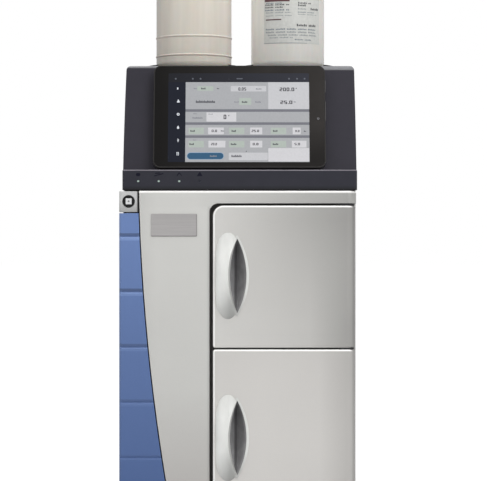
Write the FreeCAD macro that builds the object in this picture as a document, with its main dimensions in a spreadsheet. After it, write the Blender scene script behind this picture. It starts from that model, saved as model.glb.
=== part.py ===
"""Ion chromatograph: a bench cabinet with two doors, a touch tablet on a dark top cover, and two eluent bottles.

Millimetres, +Z up, the front faces -Y. The origin is on the bench, under the middle of the bounding box.
"""
import FreeCAD, Part
import math
import os
import re
import Sketcher

# Driving dimensions
SIZES = {
    # cabinet
    "cabinet_width": 288,
    "trim_overhang": 4,
    "cover_overhang": 0.8,
    "body_depth": 500,
    "cabinet_top": 447.2,
    "foot_height": 12,
    "foot_radius": 13,
    "foot_inset": 42,
    "cover_sheet": 1.5,
    "plate_sheet": 2,
    "pan_flange": 22,
    "cover_return": 20,
    "rear_proud": 14,
    "cover_corner": 1.4,
    "vent_left": -112,
    "vent_width": 96,
    "vent_low": 250,
    "vent_slot": 3.6,
    "vent_pitch": 11,
    "vent_count": 13,
    # front mouldings
    "front_depth": 25,
    "front_wall": 2.5,
    "band_height": 15.5,
    "base_height": 17,
    "seam": 1.4,
    "edge_round": 1.2,
    "side_round": 11,
    "sweep_top": 23.2,
    "sweep_bottom": 72,
    "sweep_radius": 2550,
    "plate_height": 26.2,
    "groove_pitch": 68,
    "groove_first": 28.5,
    "groove_width": 5,
    "groove_depth": 1.5,
    # power button
    "button_inset": 11.8,
    "button_ring_radius": 7.7,
    "button_side": 7.4,
    "button_depth": 9,
    "button_travel": 2,
    "button_proud": 0.9,
    "button_play": 0.15,
    # doors
    "door_thickness": 22,
    "door_wall": 3,
    "door_left": -31,
    "door_gap": 2,
    "door_top_gap": 2.7,
    "door_side_gap": 4.3,
    "upper_door_height": 175,
    "door_corner": 13,
    "door_small_corner": 3,
    "door_round": 2,
    "hinge_inset": 12.5,
    "hinge_solid": 14,
    "hinge_half": 9,
    "hinge_sheet": 1.2,
    "hinge_lift": 0.4,
    "hinge_flange": 12,
    "pin_radius": 2.5,
    "pin_grip": 10,
    "pin_play": 0.06,
    "liner_sheet": 2,
    "liner_fit": 0.2,
    # door handles
    "handle_x": -1.1,
    "handle_proud": 16,
    "rim_proud": 0.8,
    "rim_lap": 1.5,
    "cup_half": 48.5,
    "cup_bow": 22,
    "cup_right": 13,
    "cup_depth": 17,
    "grip_shift": 11.5,
    "grip_radius": 15.4,
    "grip_half": 53.2,
    "mouth_half": 45.3,
    "mouth_bow_right": 11.1,
    "mouth_bow_left": 8.9,
    "mouth_depth": 1.5,
    "mouth_flare": 7,
    "scoop_ledge": 0.4,
    "scoop_depth": 13,
    # compartments behind the doors
    "window_margin": 9,
    "window_right": 120,
    "tub_wall": 2.5,
    "tub_depth": 92,
    "tub_flange": 6,
    # dark top cover
    "deck_height": 605,
    "strip_height": 24.8,
    "strip_depth": 16,
    "cover_gap": 1,
    "cover_wall": 3,
    "lip_inset": 2,
    "tablet_tilt": 15,
    "deck_round": 6,
    "draft_left": 2.4,
    "draft_right": 1.2,
    "band_round": 1.4,
    "light_pitch": 25.2,
    "light_first": 19.6,
    "light_radius": 1.7,
    "light_height": 11.1,
    # bottle tray
    "tray_width": 262,
    "tray_length": 372,
    "tray_sheet": 3,
    "tray_front": 86,
    "well_radius": 59,
    "well_wall": 2.5,
    "well_rise": 4.6,
    "well_mouth": 90,
    "bottle_row": 150,
    "bottle_pitch": 121.7,
    "bottle_shift": 1.5,
    # tablet
    "tablet_low": -1.2,
    "tablet_width": 213,
    "tablet_height": 133,
    "tablet_thickness": 9.5,
    "tablet_corner": 9,
    "tablet_round": 1.6,
    "case_wall": 2.2,
    "glass_sheet": 1.2,
    "glass_rim": 1.4,
    "glass_play": 0.1,
    "cradle_thickness": 5,
    "cradle_margin": 16,
    "key_width": 14,
    "key_depth": 3.2,
    "key_proud": 0.7,
    "key_play": 0.12,
    "volume_width": 24,
    # bottles
    "bottle_radius": 48.7,
    "plain_bottle_radius": 47.3,
    "bottle_wall": 1.8,
    "bottle_foot_round": 9,
    "bottle_shoulder_height": 150,
    "bottle_shoulder_rise": 32,
    "shoulder_radius": 38,
    "bottle_neck": 30,
    "neck_radius": 21.5,
    "bead_low": 17.4,
    "bead_high": 41.6,
    "bead_radius": 1.6,
    "bead_sink": 0.8,
    "cap_wall": 2.6,
    "cap_height": 26,
    "cap_play": 0.3,
    "cap_ribs": 28,
    # injection valve
    "valve_x": 6,
    "valve_drop": 46,
    "valve_radius": 17,
    "valve_length": 20,
    "valve_flange_radius": 21,
    "rotor_radius": 9,
    "rotor_length": 7,
    "rotor_play": 0.06,
    "shaft_radius": 4,
    "shaft_grip": 14,
    "actuator_radius": 20,
    "gearbox_length": 34,
    "motor_side": 42,
    "motor_length": 44,
    "port_circle": 9.5,
    "port_radius": 2.6,
    "port_length": 12,
    "loop_radius": 20,
    "tube_radius": 0.9,
    # columns, suppressor and cell
    "column_x": 62,
    "column_radius": 5.5,
    "column_length": 134,
    "column_nut_radius": 7.5,
    "column_nut_length": 14,
    "column_stand": 20,
    "guard_offset": 22,
    "guard_length": 62,
    "clip_width": 16,
    "clip_height": 8,
    "clip_lip": 3,
    "clip_end": 32,
    "suppressor_x": 96,
    "suppressor_width": 28,
    "suppressor_height": 92,
    "suppressor_depth": 20,
    "cell_x": 4,
    "cell_rise": 24,
    "cell_side": 30,
    "cell_depth": 26,
    # pump
    "pump_height": 152,
    "pump_left_x": 0,
    "pump_pitch": 48,
    "head_radius": 18,
    "head_length": 48,
    "head_back": 12,
    "head_flange": 21.5,
    "piston_radius": 2,
    "piston_length": 36,
    "carrier_radius": 6,
    "carrier_length": 12,
    "piston_stroke": 6,
    "seal_play": 0.05,
    "check_radius": 6.5,
    "check_length": 20,
    "knob_radius": 10,
    "knob_length": 13,
    "knob_stem": 3,
    "knob_flutes": 10,
    "stem_grip": 8,
    "transducer_x": 24,
    "transducer_drop": 76,
    "transducer_width": 50,
    "transducer_height": 26,
    "transducer_depth": 38,
    "cartridge_radius": 17,
    "cartridge_height": 132,
    "cartridge_x": 98,
    "drive_depth": 92,
    "drive_height": 84,
    "drive_margin": 22,
    "drive_motor_radius": 28,
    "drive_motor_length": 46,
    # rear and electronics
    "fan_side": 80,
    "fan_depth": 25,
    "fan_bore": 38,
    "fan_hub": 17,
    "fan_inset": 88,
    "fan_height": 330,
    "inlet_width": 48,
    "inlet_height": 58,
    "inlet_depth": 30,
    "inlet_lip": 3,
    "inlet_inset": 54,
    "inlet_z": 70,
    "socket_depth": 16,
    "rocker_half": 9,
    "rocker_radius": 8.9,
    "rocker_height": 7.4,
    "rocker_face": 5,
    "rocker_back": 5,
    "rocker_tilt": 9,
    "rocker_sink": 1,
    "rocker_rise": 13,
    "port_inset": 82,
    "port_z": 120,
    "port_width": 60,
    "port_block": 22,
    "port_depth": 18,
    "socket_gap": 4.5,
    "network_width": 15,
    "network_height": 12.5,
    "data_width": 13,
    "data_height": 5.8,
    "drain_inset": 46,
    "drain_pitch": 22,
    "drain_z": 44,
    "drain_radius": 4,
    "board_y": -20,
    "board_z": 210,
    "board_height": 170,
    "board_length": 190,
    "board_grid": 10,
    "board_sheet": 1.6,
    "board_post": 8,
}

# Places that follow from the driving dimensions
LAYOUT = {
    "cover_right": "(cabinet_width + trim_overhang + cover_overhang) / 2",
    "edge_left": "-cover_right",
    "edge_right": "cover_right - cover_overhang",
    "cabinet_left": "edge_left + trim_overhang",
    "cabinet_middle": "(cabinet_left + edge_right) / 2",
    "face": "(handle_proud - rear_proud - body_depth) / 2",
    "rear": "face + body_depth",
    "bulk_front": "face + front_depth",
    "bulk_back": "bulk_front + plate_sheet",
    "inner_left": "cabinet_left + cover_sheet",
    "inner_right": "edge_right - cover_sheet",
    "band_bottom": "cabinet_top - band_height",
    "base_top": "foot_height + base_height",
    "plate_bottom": "cabinet_top - plate_height",
    "blue_top": "plate_bottom - seam",
    "groove_top": "blue_top - groove_first",
    "groove_count": "floor((groove_top - foot_height - groove_width) / groove_pitch) + 1",
    "upper_top": "band_bottom - door_top_gap",
    "upper_bottom": "upper_top - upper_door_height",
    "lower_top": "upper_bottom - door_gap",
    "lower_bottom": "base_top + door_gap",
    "sweep_top_x": "edge_left + sweep_top + seam",
    "sweep_bottom_x": "edge_left + sweep_bottom",
    "sweep_chord": "sqrt((sweep_top_x - sweep_bottom_x)^2 + (cabinet_top - foot_height)^2)",
    "sweep_drop": "sqrt(sweep_radius^2 - sweep_chord^2 / 4)",
    "sweep_centre_x": "(sweep_top_x + sweep_bottom_x) / 2 + sweep_drop * (cabinet_top - foot_height) / sweep_chord",
    "sweep_centre_z": "(cabinet_top + foot_height) / 2 - sweep_drop * (sweep_top_x - sweep_bottom_x) / sweep_chord",
    "button_x": "edge_left + button_inset",
    "button_z": "(plate_bottom + cabinet_top) / 2",
    "hinge_x": "edge_right - hinge_inset",
    "hinge_y": "face + door_thickness / 2",
    "grip_arc": "(grip_half^2 + handle_proud^2) / (2 * handle_proud)",
    "scoop_half": "mouth_half - scoop_ledge",
    "scoop_left": "mouth_bow_left - scoop_ledge",
    "scoop_right": "mouth_bow_right - scoop_ledge",
    "scoop_ring": "(scoop_half^2 + scoop_depth^2) / (2 * scoop_depth)",
    "left_shift": "(scoop_half^2 - scoop_left^2) / (2 * scoop_left)",
    "right_shift": "(scoop_half^2 - scoop_right^2) / (2 * scoop_right)",
    "left_ball": "sqrt(left_shift^2 + scoop_ring^2)",
    "right_ball": "sqrt(right_shift^2 + scoop_ring^2)",
    "upper_middle": "(upper_top + upper_bottom) / 2 + 1.1",
    "lower_middle": "(lower_top + lower_bottom) / 2 + 1.9",
    "window_left": "door_left + window_margin / 2",
    "tub_back": "bulk_back + tub_depth",
    "cover_bottom": "cabinet_top + cover_gap",
    "strip_top": "cover_bottom + strip_height",
    "light_z": "cover_bottom + light_height",
    "slope_foot": "face + strip_depth",
    "slope_head": "slope_foot + (deck_height - strip_top) * tan(tablet_tilt)",
    "brow": "tan(45 - tablet_tilt / 2)",
    "tray_left": "cabinet_middle - tray_width / 2",
    "tray_start": "face + tray_front",
    "tray_floor": "deck_height - tray_sheet / 2",
    "deck_top": "tray_floor + tray_sheet",
    "bottle_y": "face + bottle_row",
    "bottle_left_x": "cabinet_middle + bottle_shift - bottle_pitch / 2",
    "bottle_right_x": "cabinet_middle + bottle_shift + bottle_pitch / 2",
    "bottle_height": "bottle_shoulder_height + bottle_shoulder_rise + bottle_neck",
    "valve_z": "upper_top - valve_drop",
    "valve_back": "tub_back - tub_wall",
    "loop_z": "valve_z - port_circle * cos(30) - sqrt(loop_radius^2 - (port_circle * sin(30))^2)",
    "column_middle": "(upper_top + upper_bottom) / 2",
    "suppressor_z": "column_middle + 4",
    "cell_z": "upper_bottom + window_margin + cell_rise",
    "pump_right_x": "pump_left_x + pump_pitch",
    "head_front": "valve_back - head_length",
    "transducer_z": "pump_height - transducer_drop",
    "fan_x": "edge_right - fan_inset",
    "inlet_x": "edge_right - inlet_inset",
    "port_x": "cabinet_left + port_inset",
    "drain_x": "cabinet_left + drain_inset",
}

doc = FreeCAD.newDocument("ion_chromatograph")
V = FreeCAD.Vector


def fill_sheet():
    """Puts the driving dimensions into the spreadsheet, each with its alias."""
    sheet = doc.addObject("Spreadsheet::Sheet", "sizes")
    for row, (name, number) in enumerate(SIZES.items(), start=1):
        sheet.set("A%d" % row, name)
        sheet.set("B%d" % row, str(number))
        sheet.setAlias("B%d" % row, name)
    doc.recompute()
    return sheet


def bound(text):
    """Points the plain names in an expression to the sheet's cells and the layout's properties."""

    def reference(match):
        name = match.group()
        if name in SIZES:
            return "sizes." + name
        return "layout." + name if name in LAYOUT else name

    return re.sub(r"[a-z][a-z_]*", reference, text)


def fill_layout():
    """Makes the object whose properties hold the places worked out from the sheet."""
    holder = doc.addObject("App::FeaturePython", "layout")
    for name, text in LAYOUT.items():
        holder.addProperty("App::PropertyFloat", name)
        holder.setExpression(name, bound(text))
    doc.recompute()
    return holder


sizes = fill_sheet()
layout = fill_layout()
gauge = doc.addObject("App::FeaturePython", "gauge")
gauge.addProperty("App::PropertyFloat", "reading")


def number(text):
    """The value of an expression, as FreeCAD works it out."""
    gauge.setExpression("reading", bound(text))
    gauge.recompute()
    return gauge.reading


# Primitives and booleans bound to the sheet

TURNS = {
    "x": FreeCAD.Rotation(V(0, 1, 0), 90),
    "y": FreeCAD.Rotation(V(1, 0, 0), -90),
    "z": FreeCAD.Rotation(),
}


def place(item, x, y, z, turn=None):
    """Sets an object's turn, and binds its place to three expressions."""
    item.Placement = FreeCAD.Placement(V(), turn or FreeCAD.Rotation())
    for axis, text in zip("xyz", (x, y, z)):
        item.setExpression("Placement.Base." + axis, bound(text))
    return item


def box(name, x, y, z):
    """A block between two expressions on each axis."""
    item = doc.addObject("Part::Box", name)
    for size, (low, high) in zip(("Length", "Width", "Height"), (x, y, z)):
        item.setExpression(size, bound("(%s) - (%s)" % (high, low)))
    return place(item, x[0], y[0], z[0])


def rod(name, axis, centre, radius, length):
    """A cylinder that starts at centre and runs along +axis."""
    item = doc.addObject("Part::Cylinder", name)
    item.setExpression("Radius", bound(radius))
    item.setExpression("Height", bound(length))
    return place(item, *centre, turn=TURNS[axis])


def cone(name, axis, centre, first, second, length):
    """A cone that starts at centre with the first radius and runs along +axis."""
    item = doc.addObject("Part::Cone", name)
    item.setExpression("Radius1", bound(first))
    item.setExpression("Radius2", bound(second))
    item.setExpression("Height", bound(length))
    return place(item, *centre, turn=TURNS[axis])


def ring(name, centre, radius, thickness, axis="z"):
    """A torus round an axis."""
    item = doc.addObject("Part::Torus", name)
    item.setExpression("Radius1", bound(radius))
    item.setExpression("Radius2", bound(thickness))
    return place(item, *centre, turn=TURNS[axis])


def ball(name, centre, radius):
    item = doc.addObject("Part::Sphere", name)
    item.setExpression("Radius", bound(radius))
    return place(item, *centre)


def fuse(name, *parts):
    item = doc.addObject("Part::MultiFuse", name)
    item.Shapes = list(parts)
    item.Refine = True
    return item


def cut(name, base, *tools):
    item = doc.addObject("Part::Cut", name)
    item.Base = base
    item.Tool = tools[0] if len(tools) == 1 else fuse(name + "_tools", *tools)
    item.Refine = True
    return item


def common(name, first, second):
    item = doc.addObject("Part::Common", name)
    item.Base = first
    item.Tool = second
    item.Refine = True
    return item


def group(name, *parts):
    """Separate solids that share one node."""
    item = doc.addObject("Part::Compound", name)
    item.Links = list(parts)
    return item


# Bodies, sketches and features bound to the sheet


def body(name):
    return doc.addObject("PartDesign::Body", name)


def sketch_on(owner, plane, offset):
    """An empty sketch on one of the body's origin planes, moved along its normal by an expression."""
    item = owner.newObject("Sketcher::SketchObject", owner.Name + "_sketch")
    support = [f for f in owner.Origin.OriginFeatures if f.Role == plane + "_Plane"][0]
    item.AttachmentSupport = [(support, "")]
    item.MapMode = "FlatFace"
    item.setExpression("AttachmentOffset.Base.z", bound(offset))
    return item


def pin_down(item, geometry, spot, u, v):
    """Holds one point of a sketch at two expressions."""
    for kind, text in (("DistanceX", u), ("DistanceY", v)):
        index = item.addConstraint(Sketcher.Constraint(kind, -1, 1, geometry, spot, number(text)))
        item.setExpression("Constraints[%d]" % index, bound(text))


def outline(owner, plane, offset, corners):
    """A closed outline. A corner is (u, v), or (u, v, radius, side) where an arc leads on to the next corner.

    The side is 1 where the arc bows to the left of the way along the outline, and -1 to the right.
    """
    item = sketch_on(owner, plane, offset)
    spots = [V(number(c[0]), number(c[1]), 0) for c in corners]
    edges = []
    for index, corner in enumerate(corners):
        start, end = spots[index], spots[(index + 1) % len(spots)]
        if len(corner) == 2:
            edges.append((item.addGeometry(Part.LineSegment(start, end)), 1, 2))
            continue
        radius, side = number(corner[2]), corner[3]
        chord = end - start
        left = V(-chord.y, chord.x, 0).normalize()
        drop = math.sqrt(max(radius ** 2 - (chord.Length / 2) ** 2, 0))
        centre = (start + end) / 2 - left * drop * side
        turns = [math.atan2((p - centre).y, (p - centre).x) for p in (start, end)]
        first, last = turns if side < 0 else turns[::-1]
        circle = Part.Circle(centre, V(0, 0, 1), radius)
        added = item.addGeometry(Part.ArcOfCircle(circle, first, last + (2 * math.pi if last < first else 0)))
        item.setExpression(
            "Constraints[%d]" % item.addConstraint(Sketcher.Constraint("Radius", added, radius)), bound(corner[2])
        )
        edges.append((added, 1, 2) if side < 0 else (added, 2, 1))
    for index, (edge, _, end) in enumerate(edges):
        after, start, _ = edges[(index + 1) % len(edges)]
        item.addConstraint(Sketcher.Constraint("Coincident", edge, end, after, start))
    for (edge, start, _), corner in zip(edges, corners):
        pin_down(item, edge, start, corner[0], corner[1])
    return item


def circles(owner, plane, offset, rounds):
    """A sketch of circles, each (u, v, radius)."""
    item = sketch_on(owner, plane, offset)
    for u, v, radius in rounds:
        added = item.addGeometry(Part.Circle(V(number(u), number(v), 0), V(0, 0, 1), number(radius)))
        pin_down(item, added, 3, u, v)
        index = item.addConstraint(Sketcher.Constraint("Radius", added, number(radius)))
        item.setExpression("Constraints[%d]" % index, bound(radius))
    return item


def rectangle(u, v):
    """The corners of a rectangle between two expressions each way."""
    return [(u[0], v[0]), (u[1], v[0]), (u[1], v[1]), (u[0], v[1])]


def rounded(u, v, radius):
    """The corners of a rectangle with round corners between two expressions each way."""
    (left, right), (low, high) = u, v
    more, less = "%s + (" + radius + ")", "%s - (" + radius + ")"
    return [
        (more % left, low),
        (less % right, low, radius, -1),
        (right, more % low),
        (right, less % high, radius, -1),
        (less % right, high),
        (more % left, high, radius, -1),
        (left, less % high),
        (left, more % low, radius, -1),
    ]


def pad(owner, profile, length, against=False):
    """Adds the profile's sweep along its plane's normal, or against it."""
    item = owner.newObject("PartDesign::Pad", owner.Name + "_pad")
    item.Profile = profile
    item.Reversed = against
    item.setExpression("Length", bound(length))
    doc.recompute()
    return item


def pocket(owner, profile, length, along=False):
    """Cuts the profile's sweep against its plane's normal, or along it."""
    before = owner.Shape.Volume
    item = owner.newObject("PartDesign::Pocket", owner.Name + "_pocket")
    item.Profile = profile
    item.Reversed = along
    item.setExpression("Length", bound(length))
    doc.recompute()
    if owner.Shape.Volume > before - 1e-3:
        raise RuntimeError(item.Name + " cuts nothing")
    return item


def shell(owner, wall, test):
    """Hollows the body, open at the faces for which the test is true."""
    base = owner.Tip
    faces = ["Face%d" % (i + 1) for i, f in enumerate(base.Shape.Faces) if test(f)]
    item = owner.newObject("PartDesign::Thickness", owner.Name + "_shell")
    item.Base = (base, faces)
    item.Mode = "Skin"
    item.Join = "Intersection"
    item.Reversed = True
    item.setExpression("Value", bound(wall))
    doc.recompute()
    if "Invalid" in item.State:
        raise RuntimeError(item.Name + " can't be hollowed")
    return item


def fillet(owner, radius, test):
    """Rounds the edges for which the test is true."""
    base = owner.Tip
    edges = ["Edge%d" % (i + 1) for i, e in enumerate(base.Shape.Edges) if test(e)]
    item = owner.newObject("PartDesign::Fillet", owner.Name + "_round")
    item.Base = (base, edges)
    item.setExpression("Radius", bound(radius))
    doc.recompute()
    if "Invalid" in item.State or not edges:
        raise RuntimeError("%s can't round %d edges" % (item.Name, len(edges)))
    return item


def pattern(owner, features, kind, plane_or_axis, length, count):
    """Repeats features along an axis of the body's origin, or round one where length is None."""
    item = owner.newObject("PartDesign::" + kind, owner.Name + "_" + kind.lower())
    item.Originals = features
    axis = [f for f in owner.Origin.OriginFeatures if f.Role == plane_or_axis + "_Axis"][0]
    if kind == "LinearPattern":
        item.Direction = (axis, [""])
        item.setExpression("Length", bound(length))
    else:
        item.Axis = (axis, [""])
        item.Angle = 360
    item.setExpression("Occurrences", bound(count))
    owner.Tip = item
    doc.recompute()
    return item


def near(a, b):
    return abs(a - b) < 0.01


def edge_at(**limits):
    """A test for edges that lie wholly at the given places, such as y=-249 or x=144."""

    def test(edge):
        bounds = edge.BoundBox
        for axis, place_at in limits.items():
            low, high = getattr(bounds, axis.upper() + "Min"), getattr(bounds, axis.upper() + "Max")
            if not (near(low, place_at) and near(high, place_at)):
                return False
        return True

    return test


def face_at(axis, place_at):
    """A test for flat faces that lie at a place on an axis."""

    def test(face):
        bounds = face.BoundBox
        low, high = getattr(bounds, axis.upper() + "Min"), getattr(bounds, axis.upper() + "Max")
        return near(low, place_at) and near(high, place_at)

    return test


# Chassis


def feet():
    spots = [
        (x, y)
        for x in ("cabinet_left + foot_inset", "edge_right - foot_inset")
        for y in ("face + foot_inset", "rear - foot_inset")
    ]
    return group(
        "feet",
        *[
            cone("foot_%d" % i, "z", (x, y, "0"), "foot_radius", "foot_radius + 2", "foot_height")
            for i, (x, y) in enumerate(spots, start=1)
        ],
    )


def base_pan():
    """A folded tray: its floor and two upturned sides."""
    item = body("base_pan")
    left, right = "inner_left", "inner_right"
    corners = [
        (left, "foot_height"),
        (right, "foot_height"),
        (right, "foot_height + pan_flange"),
        (right + " - plate_sheet", "foot_height + pan_flange"),
        (right + " - plate_sheet", "foot_height + plate_sheet"),
        (left + " + plate_sheet", "foot_height + plate_sheet"),
        (left + " + plate_sheet", "foot_height + pan_flange"),
        (left, "foot_height + pan_flange"),
    ]
    profile = outline(item, "XZ", "-(bulk_back)", corners)
    pad(item, profile, "rear - cover_sheet - bulk_back", against=True)
    return item


def side_cover(name, outer, inward):
    """A sheet side with its top edge folded in, under the top cover."""
    item = body(name)
    inner = "%s %s cover_sheet" % (outer, inward)
    fold = "%s %s cover_return" % (outer, inward)
    corners = [
        (outer, "foot_height"),
        (inner, "foot_height"),
        (inner, "cabinet_top - cover_sheet"),
        (fold, "cabinet_top - cover_sheet"),
        (fold, "cabinet_top"),
        (outer, "cabinet_top"),
    ]
    profile = outline(item, "XZ", "-(bulk_front)", corners)
    pad(item, profile, "rear - cover_sheet - bulk_front", against=True)
    fillet(item, "cover_corner", edge_at(x=number(outer), z=number("cabinet_top")))
    return item


def front_bulkhead():
    """The steel front plate with a window for each compartment."""
    item = body("front_bulkhead")
    plate = rectangle(("inner_left", "inner_right"), ("foot_height", "cabinet_top - cover_sheet"))
    pad(item, outline(item, "XZ", "-(bulk_front)", plate), "plate_sheet", against=True)
    for low, high in (("upper_bottom", "upper_top"), ("lower_bottom", "lower_top")):
        hole = rectangle(("window_left", "window_right"), (low + " + window_margin", high + " - window_margin"))
        pocket(item, outline(item, "XZ", "-(bulk_front)", hole), "plate_sheet")
    return item


def rear_panel():
    """The back plate with the fan's window, the inlet's cutout and two fields of vent slots."""
    item = body("rear_panel")
    front = "-(rear - cover_sheet)"
    plate = rectangle(("cabinet_left", "edge_right"), ("foot_height", "cabinet_top"))
    pad(item, outline(item, "XZ", front, plate), "cover_sheet", against=True)
    pocket(item, circles(item, "XZ", front, [("fan_x", "fan_height", "fan_bore")]), "cover_sheet")
    inlet = rectangle(
        ("inlet_x - inlet_width / 2", "inlet_x + inlet_width / 2"),
        ("inlet_z - inlet_height / 2", "inlet_z + inlet_height / 2"),
    )
    pocket(item, outline(item, "XZ", front, inlet), "cover_sheet")
    ports = rectangle(("port_x - port_width / 2", "port_x + port_width / 2"), ("port_z", "port_z + port_block"))
    pocket(item, outline(item, "XZ", front, ports), "cover_sheet")
    slot = rectangle(("vent_left", "vent_left + vent_width"), ("vent_low", "vent_low + vent_slot"))
    first = pocket(item, outline(item, "XZ", front, slot), "cover_sheet")
    pattern(item, [first], "LinearPattern", "Z", "vent_pitch * (vent_count - 1)", "vent_count")
    fillet(item, "cover_corner", lambda e: edge_at(z=number("cabinet_top"))(e) and e.Length < 3)
    return item


# Front mouldings


def sweep_at(z, out):
    """The x of the swept line between blue and silver at a height, moved out by a distance."""
    return "sweep_centre_x - sqrt((sweep_radius + %s)^2 - (%s - sweep_centre_z)^2)" % (out, z)


def front_panel():
    """The silver column with its top and bottom bands, round the doors."""
    item = body("front_panel")
    left = "door_left - door_side_gap"
    corners = [
        ("sweep_top_x", "cabinet_top"),
        ("edge_right", "cabinet_top"),
        ("edge_right", "band_bottom"),
        (left, "band_bottom"),
        (left, "base_top"),
        ("edge_right", "base_top"),
        ("edge_right", "foot_height"),
        ("sweep_bottom_x", "foot_height", "sweep_radius", 1),
    ]
    profile = outline(item, "XZ", "-(face)", corners)
    pad(item, profile, "front_depth", against=True)
    fillet(item, "side_round", edge_at(x=number("edge_right"), y=number("face")))
    fillet(item, "door_corner - 2", edge_at(x=number(left), z=number("band_bottom")))
    shell(item, "front_wall", face_at("y", number("bulk_front")))
    fillet(item, "edge_round", edge_at(y=number("face"), z=number("cabinet_top")))
    return item


def blue_panel():
    """The blue side moulding with its fine horizontal grooves."""
    item = body("blue_panel")
    low, high = "foot_height + 2", "blue_top"
    corners = [
        ("edge_left", low),
        (sweep_at(low, "seam"), low, "sweep_radius + seam", 1),
        (sweep_at(high, "seam"), high),
        ("edge_left", high),
    ]
    pad(item, outline(item, "XZ", "-(face)", corners), "front_depth", against=True)
    shell(item, "front_wall", face_at("y", number("bulk_front")))
    fillet(item, "trim_overhang", edge_at(x=number("edge_left"), y=number("face")))
    first = "(groove_top - groove_pitch * (groove_count - 1))"
    wedge = [
        ("face", first + " - groove_width / 2"),
        ("face", first + " + groove_width / 2"),
        ("face + groove_depth", first),
    ]
    groove = pocket(item, outline(item, "YZ", "edge_left - 1", wedge), "sweep_bottom + 2", along=True)
    pattern(item, [groove], "LinearPattern", "Z", "groove_pitch * (groove_count - 1)", "groove_count")
    return item


def button_plate():
    item = body("button_plate")
    low, high = "plate_bottom", "cabinet_top - seam / 2"
    corners = [
        ("edge_left", low),
        (sweep_at(low, "seam"), low),
        (sweep_at(high, "seam"), high),
        ("edge_left", high),
    ]
    pad(item, outline(item, "XZ", "-(face)", corners), "front_depth", against=True)
    shell(item, "front_wall", face_at("y", number("bulk_front")))
    fillet(item, "trim_overhang", edge_at(x=number("edge_left"), y=number("face")))
    hole = circles(item, "XZ", "-(face)", [("button_x", "button_z", "button_ring_radius")])
    pocket(item, hole, "front_wall")
    return item


def button_well():
    """The black ring round the power button, and the square button that slides in it."""
    half = "(button_side / 2 + button_play)"
    body_of_ring = rod("ring_blank", "y", ("button_x", "face - 0.3", "button_z"), "button_ring_radius", "button_depth")
    shaft = box(
        "ring_shaft",
        ("button_x - " + half, "button_x + " + half),
        ("face - 1", "face + button_depth + 1"),
        ("button_z - " + half, "button_z + " + half),
    )
    ring_part = cut("button_ring", body_of_ring, shaft)
    key = body("power_button")
    corners = rectangle(
        ("button_x - button_side / 2", "button_x + button_side / 2"),
        ("button_z - button_side / 2", "button_z + button_side / 2"),
    )
    pad(key, outline(key, "XZ", "-(face - button_proud)", corners), "button_depth", against=True)
    fillet(key, "0.8", edge_at(y=number("face - button_proud")))
    return [ring_part, key]


# Doors


def lens(owner, y, z, half, left, right):
    """A pointed upright outline with a different bow to each side of the handle's line."""
    radius = "((%s)^2 + (%s)^2) / (2 * (%s))"
    corners = [
        ("handle_x", "%s - (%s)" % (z, half), radius % (half, right, right), -1),
        ("handle_x", "%s + (%s)" % (z, half), radius % (half, left, left), -1),
    ]
    return outline(owner, "XZ", "-(%s)" % y, corners)


def door_room(low, high, margin, corner):
    """The outline of a door's hollow, with one rounded corner."""
    left, top = "door_left + %s" % margin, "%s - (%s)" % (high, margin)
    right, bottom = "hinge_x - hinge_solid + door_wall - %s" % margin, "%s + %s" % (low, margin)
    return [
        (left, bottom),
        (right, bottom),
        (right, top),
        ("%s + %s" % (left, corner), top, corner, -1),
        (left, "%s - (%s)" % (top, corner)),
    ]


def door(name, low, high, middle, tall_corner, inner_corner):
    """A hollow door with a half-round end at its hinge and a pointed opening for its handle."""
    slab = body(name + "_slab")
    front, back = "-(face)", "-(face + door_thickness)"
    shape = rectangle(("door_left", "hinge_x"), (low, high))
    pad(slab, outline(slab, "XZ", front, shape), "door_thickness", against=True)
    left, face = number("door_left"), number("face")
    fillet(slab, tall_corner, edge_at(x=left, z=number(high)))
    fillet(slab, "door_small_corner", edge_at(x=left, z=number(low)))
    reach = number("hinge_x") - 1
    fillet(slab, "door_round", lambda e: edge_at(y=face)(e) and e.BoundBox.XMin < reach)
    inside = door_room(low, high, "door_wall", inner_corner)
    pocket(slab, outline(slab, "XZ", back, inside), "door_thickness - door_wall", along=True)
    opening = lens(slab, "face", middle, "cup_half + 0.1", "cup_bow + 0.1", "cup_right + 0.1")
    pocket(slab, opening, "door_wall + 1")
    end = body(name + "_end")
    pad(end, circles(end, "XY", low, [("hinge_x", "hinge_y", "door_thickness / 2")]), "%s - (%s)" % (high, low))
    fillet(end, "door_round", lambda e: e.BoundBox.ZLength < 0.01)
    bores = [
        rod("%s_bore_%d" % (name, i), "z", ("hinge_x", "hinge_y", start), "pin_radius + pin_play", "pin_grip + 2")
        for i, start in enumerate((low + " - 1", high + " - pin_grip - 1"), start=1)
    ]
    return cut(name, fuse(name + "_solid", slab, end), *bores)


def door_liner(name, low, high, corner):
    """The plain panel that closes a door's back."""
    item = body(name)
    corners = door_room(low, high, "(door_wall + liner_fit)", corner)
    profile = outline(item, "XZ", "-(face + door_thickness - liner_sheet)", corners)
    pad(item, profile, "liner_sheet", against=True)
    return item


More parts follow.
